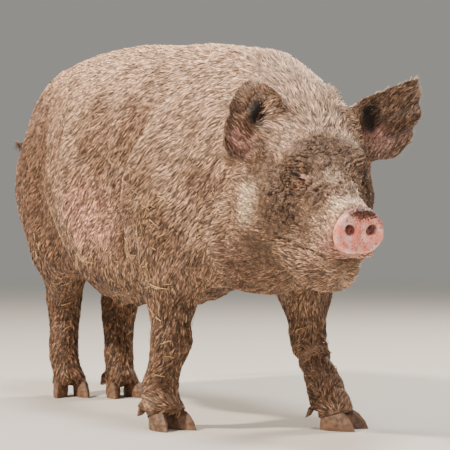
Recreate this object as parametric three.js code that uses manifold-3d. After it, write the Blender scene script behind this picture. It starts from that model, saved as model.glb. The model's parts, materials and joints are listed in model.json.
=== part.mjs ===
// A grown sow standing on all four feet, at life size, as a still museum model.
// Millimetres, +X towards the head, +Y to the animal's left, +Z up, floor at z = 0.
// The flesh is one smooth blend of named forms. It is meshed part by part and parted by thin planar cuts.
import * as THREE from 'three';
import { mergeVertices } from 'three/addons/utils/BufferGeometryUtils.js';
import Module from 'manifold-3d';

const wasm = await Module();
wasm.setup();

// ---------------------------------------------------------------- driving dimensions
const seam = 0.4;                 // width of the cut between two neighbouring parts
const legSpan = 910;              // from the forefeet back to the hind feet
const foreStance = 180;           // each forefoot's distance from the midline
const hindStance = 60;            // the hind feet stand close together
const foreStep = 88;              // the left forefoot is this far ahead, the right one as far back
const foreTurn = { left: 38, right: 8 };    // the forefeet turn this many degrees to the animal's left
const foreShift = 8;              // both forefeet stand this far to the left of the pasterns above them
const hindStep = 40;              // the same for the hind feet
const eyeRadius = 13;
const headAt = [300, -10, 662];   // middle of the skull, between the ears
const headTurns = [0, 35, -7.4];   // the face points 35 degrees down and a little to the animal's right
const discTurns = [0, 17, -7.4];   // the rooting disc is steeper than the face
const discRadii = [57, 53];       // half its width and half its height
const discDepth = 24;
const shell = 9;                  // thickness of an ear at its middle
const degree = Math.PI / 180;

const vec = (x, y, z) => new THREE.Vector3(x, y, z);

// ---------------------------------------------------------------- forms as distance functions
// A form is {k, reach, distance(p)}: k is the width of its blend into what came before it.
const blend = (a, b, k) => {
  const h = Math.max(k - Math.abs(a - b), 0) / k;
  return Math.min(a, b) - (h * h * k) / 4;
};

function placed(at, turns) {
  const matrix = new THREE.Matrix4().makeRotationFromEuler(
    new THREE.Euler(turns[0] * degree, turns[1] * degree, turns[2] * degree, 'ZYX'));
  matrix.setPosition(...at);
  return matrix;
}

function ellipsoid({ at, radii, turns = [0, 0, 0], k = 40 }) {
  const inverse = placed(at, turns).invert();
  const [rx, ry, rz] = radii;
  const q = vec(0, 0, 0);
  return {
    k,
    distance(p) {
      q.copy(p).applyMatrix4(inverse);
      const near = Math.hypot(q.x / rx, q.y / ry, q.z / rz);
      const slope = Math.hypot(q.x / rx ** 2, q.y / ry ** 2, q.z / rz ** 2);
      return slope < 1e-9 ? -Math.min(rx, ry, rz) : (near * (near - 1)) / slope;
    },
  };
}

// A tapered limb segment with an oval section: side is its half-width across, fore its half-depth.
function segment({ from, to, side, fore, k = 40 }) {
  const a = vec(...from);
  const along = vec(...to).sub(a);
  const length = along.length();
  along.normalize();
  const across = vec(0, 1, 0).addScaledVector(along, -along.y).normalize();
  const ahead = vec(0, 0, 0).crossVectors(across, along);
  const q = vec(0, 0, 0);
  return {
    k,
    distance(p) {
      q.copy(p).sub(a);
      const t = THREE.MathUtils.clamp(q.dot(along) / length, 0, 1);
      const rs = THREE.MathUtils.lerp(side[0], side[1], t);
      const rf = THREE.MathUtils.lerp(fore[0], fore[1], t);
      const least = Math.min(rs, rf);
      const end = q.dot(along) - t * length;
      return (Math.hypot(q.dot(across) / rs, q.dot(ahead) / rf, end / least) - 1) * least;
    },
  };
}

// A long form through stations along its own X axis, each with half-width, top and bottom.
function loft({ frame, stations, power = 2.2, k = 60 }) {
  const inverse = frame.clone().invert();
  const spline = (key) => {
    const xs = stations.map((s) => s.x);
    const ys = stations.map((s) => s[key]);
    return (x) => {
      let i = 0;
      while (i < xs.length - 2 && x > xs[i + 1]) i += 1;
      const t = THREE.MathUtils.clamp((x - xs[i]) / (xs[i + 1] - xs[i]), 0, 1);
      const before = ys[Math.max(i - 1, 0)];
      const after = ys[Math.min(i + 2, ys.length - 1)];
      const m0 = ((ys[i + 1] - before) / (xs[i + 1] - xs[Math.max(i - 1, 0)])) * (xs[i + 1] - xs[i]);
      const m1 = ((after - ys[i]) / (xs[Math.min(i + 2, xs.length - 1)] - xs[i])) * (xs[i + 1] - xs[i]);
      const t2 = t * t;
      const t3 = t2 * t;
      return (2 * t3 - 3 * t2 + 1) * ys[i] + (t3 - 2 * t2 + t) * m0
        + (3 * t2 - 2 * t3) * ys[i + 1] + (t3 - t2) * m1;
    };
  };
  const half = spline('half');
  const top = spline('top');
  const bottom = spline('bottom');
  const low = stations[0].x;
  const high = stations.at(-1).x;
  const q = vec(0, 0, 0);
  return {
    k,
    distance(p) {
      q.copy(p).applyMatrix4(inverse);
      const x = THREE.MathUtils.clamp(q.x, low, high);
      const wide = half(x);
      const tall = (top(x) - bottom(x)) / 2;
      const middle = (top(x) + bottom(x)) / 2;
      const across = (Math.abs(q.y) / wide) ** power;
      const upward = (Math.abs(q.z - middle) / tall) ** power;
      const flat = ((across + upward) ** (1 / power) - 1) * Math.min(wide, tall);
      const past = Math.abs(q.x - x);
      return past === 0 ? flat : Math.hypot(Math.max(flat, 0), past) + Math.min(flat, 0) * 0.1;
    },
  };
}

// ---------------------------------------------------------------- the animal's frames and joints
const bodyFrame = new THREE.Matrix4();
const headFrame = placed(headAt, headTurns);
const onHead = (x, y, z) => vec(x, y, z).applyMatrix4(headFrame).toArray();
const sides = [{ name: 'left', s: 1 }, { name: 'right', s: -1 }];

// Joint centres of each leg, from the body down to just above the hooves.
function foreLeg(s) {
  const foot = vec(s * foreStep, s * foreStance + foreShift, 0);
  return {
    foot,
    turn: s > 0 ? foreTurn.left : foreTurn.right,
    shoulder: [-50, s * 125, 520],
    elbow: [s * 52 - 64, s * 152, 345],
    knee: [s * 35 - 55, s * 164, 205],
    fetlock: [foot.x - 42, s * 176, 92],
    pastern: [foot.x - 16, s * 180 + 4, 54],
  };
}
function hindLeg(s) {
  const foot = vec(-legSpan + s * hindStep, s * hindStance, 0);
  return {
    foot,
    turn: s * 6 - 12,
    hip: [-930, s * 105, 600],
    stifle: [-840 + s * 20, s * 118, 425],
    hock: [foot.x - 78, foot.y + (s > 0 ? 22 : 14), 262],
    fetlock: [foot.x - 36, foot.y + s * 4, 96],
    pastern: [foot.x - 12, foot.y, 52],
  };
}

// ---------------------------------------------------------------- flesh
const trunkForm = loft({
  frame: bodyFrame,
  stations: [
    { x: -1130, half: 56, top: 800, bottom: 620 },
    { x: -1090, half: 108, top: 868, bottom: 520 },
    { x: -1010, half: 150, top: 897, bottom: 430 },
    { x: -880, half: 182, top: 915, bottom: 385 },
    { x: -740, half: 218, top: 928, bottom: 340 },
    { x: -620, half: 248, top: 933, bottom: 300 },
    { x: -500, half: 264, top: 933, bottom: 288 },
    { x: -380, half: 258, top: 928, bottom: 300 },
    { x: -240, half: 238, top: 918, bottom: 325 },
    { x: -80, half: 220, top: 902, bottom: 350 },
    { x: 60, half: 198, top: 882, bottom: 358 },
    { x: 180, half: 170, top: 832, bottom: 372 },
    { x: 290, half: 142, top: 764, bottom: 415 },
  ],
  power: 2.25,
  k: 1,
});

const headForm = loft({
  frame: headFrame,
  stations: [
    { x: -110, half: 118, top: 55, bottom: -150 },
    { x: -30, half: 130, top: 78, bottom: -180 },
    { x: 60, half: 126, top: 80, bottom: -190 },
    { x: 135, half: 106, top: 62, bottom: -190 },
    { x: 200, half: 82, top: 50, bottom: -178 },
    { x: 270, half: 59, top: 54, bottom: -132 },
    { x: 335, half: 55, top: 70, bottom: -62 },
    { x: 372, half: 50, top: 72, bottom: -30 },
  ],
  power: 2.2,
  k: 80,
});

const headLump = (x, y, z, radii, k) => ellipsoid({ at: onHead(x, y, z), radii, turns: headTurns, k });
const headLumps = sides.flatMap(({ s: side }) => [
  headLump(35, side * 95, -105, [95, 58, 95], 50),   // jowl
  headLump(115, side * 76, -66, [75, 44, 55], 40),   // cheek
  headLump(112, side * 72, 44, [40, 24, 22], 26),    // brow
  headLump(290, side * 42, -44, [52, 24, 32], 26),   // lip
]).concat([
  headLump(290, 0, -100, [58, 36, 36], 26),          // chin
  headLump(200, 0, -150, [110, 75, 56], 60),         // throat
]);

function foreLegForms(s) {
  const leg = foreLeg(s);
  return [
    ellipsoid({ at: [-80, s * 158, 560], radii: [142, 94, 225], turns: [s * 3, -12, 0], k: 34 }),
    segment({ from: leg.shoulder, to: leg.elbow, side: [78, 58], fore: [120, 76], k: 70 }),
    segment({ from: leg.elbow, to: leg.knee, side: [56, 42], fore: [68, 45], k: 40 }),
    segment({ from: leg.knee, to: leg.fetlock, side: [42, 35], fore: [46, 38], k: 22 }),
    segment({ from: leg.fetlock, to: leg.pastern, side: [43, 45], fore: [43, 43], k: 22 }),
  ];
}
function hindLegForms(s) {
  const leg = hindLeg(s);
  return [
    ellipsoid({ at: [-950, s * 100, 610], radii: [165, 86, 215], turns: [s * 3, 12, 0], k: 40 }),
    segment({ from: leg.hip, to: leg.stifle, side: [70, 66], fore: [146, 112], k: 80 }),
    segment({ from: leg.stifle, to: leg.hock, side: [62, 42], fore: [98, 50], k: 50 }),
    segment({ from: leg.hock, to: leg.fetlock, side: [40, 36], fore: [48, 38], k: 26 }),
    segment({ from: leg.fetlock, to: leg.pastern, side: [39, 40], fore: [40, 40], k: 22 }),
  ];
}

// The two toes of a foot. Each runs into a claw whose top is a tilted plane.
const footFrame = (leg) => placed(leg.foot.toArray(), [0, 0, leg.turn]);
const clawSpread = 22;                            // each claw's distance from the foot's middle
const crownHeight = { heel: 26, toe: 46 };        // height of the claw's top behind and in front
const crownReach = { heel: -34, toe: 34 };
function toeForms(leg) {
  const at = (x, y, z) => vec(x, y, z).applyMatrix4(footFrame(leg)).toArray();
  return [1, -1].map((t) => segment({
    from: leg.pastern, to: at(6, t * (clawSpread + 3), 26), side: [28, 22], fore: [33, 34], k: 12,
  }));
}

const bodyLumps = [
  ellipsoid({ at: [70, 0, 430], radii: [150, 140, 100], k: 80 }),                    // brisket
  ellipsoid({ at: [-480, 0, 380], radii: [270, 180, 100], k: 60 }),                  // belly
  ellipsoid({ at: [-1100, 0, 872], radii: [56, 40, 34], k: 40 }),                    // tail head
  ellipsoid({ at: [150, 0, 765], radii: [180, 95, 62], turns: [0, 26, 0], k: 70 }),  // crest of the neck
];

const legs = sides.flatMap(({ name, s: side }) => [
  { name: `foreleg_${name}`, side, ...foreLeg(side), forms: foreLegForms(side) },
  { name: `hindleg_${name}`, side, ...hindLeg(side), forms: hindLegForms(side) },
]);
const flesh = [
  trunkForm, ...bodyLumps, headForm, ...headLumps,
  ...legs.flatMap((leg) => leg.forms), ...legs.flatMap(toeForms),
];
const distanceTo = (p) => flesh.reduce((d, form) => blend(d, form.distance(p), form.k), 1e4);

// ---------------------------------------------------------------- meshing
// Surface nets over a box: one vertex in each cell that the surface crosses, drawn onto the surface.
function meshOf(distance, low, high, cell) {
  const count = [0, 1, 2].map((i) => Math.max(3, Math.ceil((high[i] - low[i]) / cell[i])) + 2);
  const step = [0, 1, 2].map((i) => (high[i] - low[i]) / (count[i] - 2));
  const [nx, ny, nz] = count;
  const p = vec(0, 0, 0);
  const corner = (...n) => p.set(...n.map((value, axis) => low[axis] + (value - 0.5) * step[axis]));
  const values = new Float32Array(nx * ny * nz);
  const at = (i, j, k) => i + nx * (j + ny * k);
  for (let k = 0; k < nz; k += 1) {
    for (let j = 0; j < ny; j += 1) {
      for (let i = 0; i < nx; i += 1) {
        const edge = i === 0 || j === 0 || k === 0 || i === nx - 1 || j === ny - 1 || k === nz - 1;
        values[at(i, j, k)] = edge ? cell[0] : distance(corner(i, j, k));
      }
    }
  }
  const position = [];
  const index = [];
  const cells = new Map();
  const slope = vec(0, 0, 0);
  const settle = (q, lowest, highest) => {
    for (let n = 0; n < 4; n += 1) {
      const d = distance(q);
      const h = 0.5;
      slope.set(
        distance(vec(q.x + h, q.y, q.z)) - distance(vec(q.x - h, q.y, q.z)),
        distance(vec(q.x, q.y + h, q.z)) - distance(vec(q.x, q.y - h, q.z)),
        distance(vec(q.x, q.y, q.z + h)) - distance(vec(q.x, q.y, q.z - h))).divideScalar(2 * h);
      q.addScaledVector(slope, -d / Math.max(slope.lengthSq(), 0.2));
    }
    return q.max(lowest).min(highest);
  };
  const vertexOf = (i, j, k) => {
    const key = at(i, j, k);
    if (cells.has(key)) return cells.get(key);
    const sum = vec(0, 0, 0);
    let crossings = 0;
    for (let c = 0; c < 8; c += 1) {
      for (const bit of [1, 2, 4]) {
        if (c & bit) continue;
        const a = [i + (c & 1), j + ((c >> 1) & 1), k + ((c >> 2) & 1)];
        const other = c | bit;
        const b = [i + (other & 1), j + ((other >> 1) & 1), k + ((other >> 2) & 1)];
        const va = values[at(...a)];
        const vb = values[at(...b)];
        if ((va < 0) === (vb < 0)) continue;
        const t = va / (va - vb);
        sum.add(corner(...a).clone().lerp(corner(...b), t));
        crossings += 1;
      }
    }
    const q = sum.divideScalar(crossings);
    const inner = i > 0 && j > 0 && k > 0 && i < nx - 2 && j < ny - 2 && k < nz - 2;
    if (inner) settle(q, corner(i, j, k).clone(), corner(i + 1, j + 1, k + 1).clone());
    cells.set(key, position.length / 3);
    position.push(q.x, q.y, q.z);
    return cells.get(key);
  };
  const axes = [[1, 0, 0], [0, 1, 0], [0, 0, 1]];
  for (let k = 0; k < nz - 1; k += 1) {
    for (let j = 0; j < ny - 1; j += 1) {
      for (let i = 0; i < nx - 1; i += 1) {
        for (let n = 0; n < 3; n += 1) {
          const [ax, ay, az] = axes[n];
          const [bx, by, bz] = axes[(n + 1) % 3];
          const [cx, cy, cz] = axes[(n + 2) % 3];
          if (i < bx + cx || j < by + cy || k < bz + cz) continue;
          const here = values[at(i, j, k)] < 0;
          if (here === values[at(i + ax, j + ay, k + az)] < 0) continue;
          const ring = [
            vertexOf(i, j, k), vertexOf(i - bx, j - by, k - bz),
            vertexOf(i - bx - cx, j - by - cy, k - bz - cz), vertexOf(i - cx, j - cy, k - cz)];
          const [a, b, c, d] = here ? ring : ring.reverse();
          index.push(a, b, c, a, c, d);
        }
      }
    }
  }
  const geometry = new THREE.BufferGeometry();
  geometry.setAttribute('position', new THREE.Float32BufferAttribute(position, 3));
  geometry.setIndex(index);
  return geometry;
}

// ---------------------------------------------------------------- solids
function solidOf(geometry, matrix = null) {
  const bare = geometry.clone();
  if (matrix) bare.applyMatrix4(matrix);
  bare.deleteAttribute('normal');
  bare.deleteAttribute('uv');
  const merged = mergeVertices(bare, 1e-3);
  return new wasm.Manifold(new wasm.Mesh({
    numProp: 3,
    vertProperties: new Float32Array(merged.attributes.position.array),
    triVerts: new Uint32Array(merged.index.array),
  }));
}

function geometryOf(solid) {
  const { numProp, vertProperties, triVerts, numVert } = solid.getMesh();
  const position = new Float32Array(numVert * 3);
  for (let i = 0; i < numVert; i += 1) {
    position.set(vertProperties.subarray(i * numProp, i * numProp + 3), i * 3);
  }
  const geometry = new THREE.BufferGeometry();
  geometry.setAttribute('position', new THREE.BufferAttribute(position, 3));
  geometry.setIndex(new THREE.BufferAttribute(new Uint32Array(triVerts), 1));
  geometry.computeVertexNormals();
  return geometry;
}

// A box between two corners in a frame, as a cutter. grow moves every wall out.
function block(frame, low, high, grow = 0) {
  const size = low.map((v, i) => high[i] - v + 2 * grow);
  const centre = low.map((v, i) => (v + high[i]) / 2);
  const matrix = frame.clone().multiply(new THREE.Matrix4().setPosition(...centre));
  return solidOf(new THREE.BoxGeometry(...size), matrix);
}

// ---------------------------------------------------------------- ears
// An ear is a cupped leaf between two rims. Points are forward, outward and up from the middle of the skull.
const levelHead = placed(headAt, [0, 0, headTurns[2]]);
const ears = {
  left: {
    side: 1, cup: 40,
    upper: [[14, 52, 66], [12, 88, 100], [-8, 152, 116], [-26, 216, 138], [-45, 288, 162]],
    lower: [[14, 92, -25], [12, 150, -36], [2, 208, -32], [-14, 264, 26], [-34, 292, 92], [-45, 288, 162]],
  },
  right: {
    side: -1, cup: 44,
    upper: [[26, 44, 62], [48, 60, 106], [30, 92, 132], [0, 108, 146], [-26, 116, 152]],
    lower: [
      [26, 88, -32], [34, 148, -44], [32, 184, -40], [18, 206, 0],
      [-4, 188, 76], [-22, 146, 140], [-26, 116, 152],
    ],
  },
};

function leaf({ side, cup, upper, lower }) {
  const across = 6;
  const along = 9;
  const curveOf = (points) => new THREE.CatmullRomCurve3(
    points.map(([x, y, z]) => vec(x, side * y, z).applyMatrix4(levelHead)), false, 'centripetal');
  const rims = [curveOf(upper), curveOf(lower)];
  const back = vec(-1, 0, 0).applyMatrix4(placed([0, 0, 0], [0, 0, headTurns[2] - side * 16]));
  const faces = [[], []];
  for (let i = 0; i <= along; i += 1) {
    const t = (i / along) * 0.985;
    const [a, b] = rims.map((rim) => rim.getPointAt(t));
    for (let j = 0; j <= across; j += 1) {
      const v = j / across;
      const bulge = 4 * v * (1 - v);
      const hollow = cup * bulge * (1 - 0.75 * t);
      const middle = a.clone().lerp(b, v).addScaledVector(back, hollow);
      const half = shell * (0.28 + 0.22 * bulge + 0.3 * bulge * (1 - t));
      faces[0].push(middle.clone().addScaledVector(back, -half));
      faces[1].push(middle.clone().addScaledVector(back, half));
    }
  }
  const points = [...faces[0], ...faces[1]];
  const row = across + 1;
  const behind = faces[0].length;
  const index = [];
  const quad = (a, b, c, d) => index.push(a, b, c, a, c, d);
  for (let i = 0; i < along; i += 1) {
    for (let j = 0; j < across; j += 1) {
      const n = i * row + j;
      quad(n, n + 1, n + row + 1, n + row);
      quad(behind + n, behind + n + row, behind + n + row + 1, behind + n + 1);
    }
    for (const j of [0, across]) {
      const n = i * row + j;
      if (j === 0) quad(n, n + row, behind + n + row, behind + n);
      else quad(n, behind + n, behind + n + row, n + row);
    }
  }
  for (const i of [0, along]) {
    for (let j = 0; j < across; j += 1) {
      const n = i * row + j;
      if (i === 0) quad(n, behind + n, behind + n + 1, n + 1);
      else quad(n, n + 1, behind + n + 1, behind + n);
    }
  }
  const geometry = new THREE.BufferGeometry().setFromPoints(points);
  geometry.setIndex(index);
  const solid = solidOf(geometry);
  return solid.volume() > 0 ? solid : solidOf(flipped(geometry));
}

function flipped(geometry) {
  const index = Array.from(geometry.index.array);
  for (let i = 0; i < index.length; i += 3) [index[i], index[i + 1]] = [index[i + 1], index[i]];
  return geometry.clone().setIndex(index);
}

// A closed skin over rings of points, each ring running the same way round.
function skinned(rings) {
  const n = rings[0].length;
  const index = [];
  for (let r = 0; r + 1 < rings.length; r += 1) {
    for (let i = 0; i < n; i += 1) {
      const j = (i + 1) % n;
      const [a, b, c, d] = [r * n + i, r * n + j, (r + 1) * n + j, (r + 1) * n + i];
      index.push(a, b, c, a, c, d);
    }
  }
  const last = (rings.length - 1) * n;
  for (let i = 1; i + 1 < n; i += 1) {
    index.push(0, i + 1, i);
    index.push(last, last + i, last + i + 1);
  }
  const geometry = new THREE.BufferGeometry().setFromPoints(rings.flat());
  geometry.setIndex(index);
  const solid = solidOf(geometry);
  return solid.volume() > 0 ? solid : solidOf(flipped(geometry));
}

// ---------------------------------------------------------------- claws
// Outlines run round the claw; the front is pointed and each claw turns its toe outward.
const clawSplay = 13;
const clawWall = [
  { back: -5, length: 102, half: 19, height: 0, rise: 0 },
  { back: -5, length: 94, half: 21, height: 10, rise: 0.1 },
  { back: -2, length: 76, half: 20.5, height: 22, rise: 0.2 },
];
function claw(leg, t) {
  const { heel, toe } = crownReach;
  const turned = placed([heel, t * (clawSpread - 2), 0], [0, 0, t * clawSplay]);
  const slope = (crownHeight.toe - crownHeight.heel) / (toe - heel);
  const crown = { back: 0, length: 62, half: 19, height: crownHeight.heel, rise: slope };
  const ring = ({ back, length, half, height, rise }) => Array.from({ length: 10 }, (_, i) => {
    const angle = (i / 10) * 2 * Math.PI;
    const narrow = 1 - 0.6 * Math.max(0, Math.cos(angle)) ** 1.2;
    const spot = vec(back + (length / 2) * (1 + Math.cos(angle)), Math.sin(angle) * half * narrow, 0);
    spot.applyMatrix4(turned);
    return spot.setZ(height + rise * (spot.x - heel)).applyMatrix4(footFrame(leg));
  });
  return skinned([...clawWall, crown].map(ring));
}

// A dewclaw is a small blunt cone behind the pastern, clear of the floor.
function dewclaw(leg, t) {
  const frame = footFrame(leg);
  const ring = (x, y, z, half) => Array.from({ length: 6 }, (_, i) => {
    const angle = (i / 6) * 2 * Math.PI;
    const round = vec(0.9 * Math.cos(angle), Math.sin(angle), 0.5 * Math.cos(angle));
    const spot = vec(x, t * y, z).addScaledVector(round, half);
    return spot.applyMatrix4(frame);
  });
  return skinned([ring(-60, 38, 32, 9), ring(-50, 32, 56, 15), ring(-24, 20, 84, 15)]);
}

// ---------------------------------------------------------------- tail
// The tail hangs behind the rump and swings to the right at its tip.
const tailBones = [
  { at: [-1050, 0, 858], r: 26 }, { at: [-1112, 0, 860], r: 26 }, { at: [-1156, -4, 830], r: 20 },
  { at: [-1184, -16, 768], r: 15 }, { at: [-1196, -50, 712], r: 12 }, { at: [-1188, -98, 686], r: 10 },
  { at: [-1166, -138, 694], r: 6 },
];
function tailSolid() {
  const curve = new THREE.CatmullRomCurve3(tailBones.map((bone) => vec(...bone.at)));
  const count = 11;
  const rings = Array.from({ length: count }, (_, i) => {
    const t = i / (count - 1);
    const spot = t * (tailBones.length - 1);
    const before = tailBones[Math.floor(spot)];
    const after = tailBones[Math.min(Math.floor(spot) + 1, tailBones.length - 1)];
    const radius = before.r + (after.r - before.r) * (spot % 1);
    const centre = curve.getPoint(t);
    const forward = curve.getTangent(t);
    const across = vec(0.35, 1, 0.2).cross(forward).normalize();
    const up = forward.clone().cross(across);
    return Array.from({ length: 8 }, (_unused, j) => {
      const angle = (j / 8) * 2 * Math.PI;
      const spot = centre.clone().addScaledVector(across, radius * Math.cos(angle));
      return spot.addScaledVector(up, radius * Math.sin(angle));
    });
  });
  return skinned(rings);
}

// ---------------------------------------------------------------- rooting disc
const discFrame = placed(onHead(352, -2, 22), discTurns);
function discSolid() {
  const [wide, high] = discRadii;
  const ring = (x, scale) => Array.from({ length: 20 }, (_, i) => {
    const angle = (i / 20) * 2 * Math.PI - Math.PI / 2;
    const narrow = 1 - 0.1 * Math.sin(angle);
    const notch = 1 - 0.07 * Math.max(0, -Math.sin(angle)) ** 12;
    const spot = vec(x, wide * narrow * scale * Math.cos(angle), high * notch * scale * Math.sin(angle));
    return spot.applyMatrix4(discFrame);
  });
  const half = discDepth / 2;
  const body = skinned([ring(-half, 0.93), ring(-half * 0.3, 1), ring(half * 0.5, 0.99), ring(half, 0.9)]);
  const nostrils = sides.map(({ s: side }) => {
    const bore = new THREE.CylinderGeometry(9, 6, 16, 8).rotateZ(-Math.PI / 2).rotateX(side * 0.3);
    bore.scale(1, 0.85, 1.15);
    return solidOf(bore.translate(half - 2, side * 23, 6), discFrame);
  });
  return nostrils.reduce((solid, bore) => solid.subtract(bore), body);
}

// ---------------------------------------------------------------- where the parts are cut
const far = 700;
const headBlock = {
  frame: placed(headAt, [0, 18, headTurns[2]]),
  low: [-50, -far, -345],
  high: [far, far, far],
};
const neckBlock = {
  frame: placed([100, 0, 630], [0, 11, 0]),
  low: [0, -far, -360],
  high: [far, far, far],
};
const jawBlock = {
  frame: placed(onHead(350, 0, -53), [0, 12, headTurns[2]]),
  low: [-150, -160, -260],
  high: [140, 160, 0],
};
const discBlock = {
  frame: discFrame,
  low: [-discDepth / 2 - seam, -160, -110],
  high: [200, 160, 200],
};
const tailBlock = {
  frame: placed([-1122, 0, 852], [0, 13, 0]),
  low: [-200, -200, -260],
  high: [0, 60, 80],
};

// Elbow or stifle down to the floor, turned to follow the limb.
function legBlock(leg) {
  const fore = leg.elbow !== undefined;
  const [x, y, z] = fore ? leg.elbow : [leg.foot.x + 6, leg.foot.y, 340];
  const lean = fore ? Math.atan2(leg.foot.x - x, z) / degree : 0;
  const inner = fore ? 62 : 14;
  const span = [inner - leg.side * y, 300 - leg.side * y].map((v) => leg.side * v).sort((a, b) => a - b);
  return {
    frame: placed([x, y, z], [0, -lean, 0]),
    low: [fore ? -108 : -175, span[0], -z - 60],
    high: [fore ? 112 : 165, span[1], 44],
  };
}
function crownBlock(leg) {
  const { heel, toe } = crownReach;
  const tilt = Math.atan2(crownHeight.toe - crownHeight.heel, toe - heel) / degree;
  const frame = footFrame(leg).multiply(placed([heel, 0, crownHeight.heel], [0, -tilt, 0]));
  return { frame, low: [-150, -150, -120], high: [200, 150, 0] };
}
function dewBlock(leg, t) {
  const frame = footFrame(leg).multiply(placed([-53, t * 31, 50], [0, 32, 0]));
  return { frame, low: [-24, -22, -40], high: [16, 22, 0] };
}
const earBlock = ({ side }) => ({
  frame: levelHead.clone().multiply(placed([0, side * 112, 40], [side * 24, 0, 0])),
  low: side > 0 ? [-160, 0, -120] : [-160, -240, -120],
  high: side > 0 ? [140, 240, 240] : [140, 0, 240],
});

const cutter = ({ frame, low, high }, grow = 0) => block(frame, low, high, grow);
// The share of a solid inside a block, and what is left of it outside.
const inside = (solid, box) => solid.intersect(cutter(box));
const outside = (solid, boxes) => boxes.reduce((rest, box) => rest.subtract(cutter(box, seam)), solid);

// ---------------------------------------------------------------- solids of the parts
// Cells are long where the body runs straight.
const cells = { trunk: [84, 60, 57], neck: [54, 48, 48], head: [32, 29, 30], leg: [31, 32, 50] };
const meshed = (low, high, cell) => solidOf(meshOf(distanceTo, low, high, cell));

// An eye lies a little under the surface of the face, where a line out from the skull meets it.
const eyeDepth = 8;
function eyeCentre(side) {
  const outward = vec(0.4, side * 0.84, 0.36).normalize();
  const direction = outward.clone().transformDirection(headFrame);
  const spot = vec(...onHead(126, side * 30, 4));
  for (let n = 0; n < 40; n += 1) spot.addScaledVector(direction, -distanceTo(spot) * 0.8);
  return spot.addScaledVector(direction, -eyeDepth);
}
const ball = (centre, radius, detail) => solidOf(
  new THREE.IcosahedronGeometry(radius, detail), new THREE.Matrix4().setPosition(...centre.toArray()));

const legBlocks = legs.map(legBlock);
const parts = {};

const headFlesh = inside(meshed([120, -210, 320], [700, 210, 800], cells.head), headBlock);
const eared = Object.values(ears).reduce((solid, ear) => solid.add(leaf(ear)), outside(headFlesh, [discBlock]));
const sockets = sides.map(({ s: side }) => ball(eyeCentre(side), eyeRadius + seam, 2));
const earless = outside(eared, Object.values(ears).map(earBlock));
const headWhole = sockets.reduce((solid, socket) => solid.subtract(socket), earless);
parts.head = outside(headWhole, [jawBlock]);
parts.lower_jaw = inside(headWhole, jawBlock);
parts.snout = discSolid();
sides.forEach(({ name, s: side }) => {
  parts[`eye_${name}`] = ball(eyeCentre(side), eyeRadius, 2);
  parts[`ear_${name}`] = inside(eared, earBlock(ears[name]));
});

const neckFlesh = inside(meshed([30, -260, 250], [340, 260, 920], cells.neck), neckBlock);
parts.neck = outside(neckFlesh, [headBlock, ...legBlocks]);

const trunkFlesh = meshed([-1190, -320, 240], [200, 320, 960], cells.trunk);
const tailed = outside(trunkFlesh, [headBlock, neckBlock, ...legBlocks]).add(tailSolid());
parts.trunk = outside(tailed, [tailBlock]);
parts.tail = inside(tailed, tailBlock);

legs.forEach((leg, i) => {
  const { x, y } = leg.foot;
  const limb = inside(meshed([x - 260, y - 200, 0], [x + 200, y + 200, 450], cells.leg), legBlocks[i]);
  const toed = [1, -1].reduce((solid, t) => solid.add(dewclaw(leg, t)), outside(limb, [crownBlock(leg)]));
  parts[leg.name] = outside(toed, [1, -1].map((t) => dewBlock(leg, t)));
  [1, -1].forEach((t) => {
    const place = t * leg.side > 0 ? 'outer' : 'inner';
    parts[`hoof_${place}_${leg.name}`] = claw(leg, t);
    parts[`dewclaw_${place}_${leg.name}`] = inside(dewclaw(leg, t), dewBlock(leg, t));
  });
});

// ---------------------------------------------------------------- materials and the group
const materials = {
  skin: { color: '#9b8470', roughness: 0.8 },
  disc: { color: '#e0958a', roughness: 0.45 },
  eye: { color: '#2a1b14', roughness: 0.15 },
  horn: { color: '#8c7660', roughness: 0.6 },
};
const materialOf = (name) => {
  if (name === 'snout') return 'disc';
  if (name.startsWith('eye')) return 'eye';
  return name.startsWith('hoof') || name.startsWith('dewclaw') ? 'horn' : 'skin';
};

const pig = new THREE.Group();
pig.name = 'pig';
Object.entries(parts).forEach(([name, solid]) => {
  const kind = materialOf(name);
  const mesh = new THREE.Mesh(geometryOf(solid), new THREE.MeshStandardMaterial(materials[kind]));
  mesh.name = name;
  mesh.material.name = kind;
  pig.add(mesh);
});
const extent = new THREE.Box3().setFromObject(pig);
const middle = extent.getCenter(vec(0, 0, 0));
pig.position.set(-middle.x, -middle.y, -extent.min.z);

export default pig;
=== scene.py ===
import json
import math

import bmesh
import bpy
import numpy as np
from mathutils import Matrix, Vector
from mathutils.bvhtree import BVHTree
from mathutils.kdtree import KDTree

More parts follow.
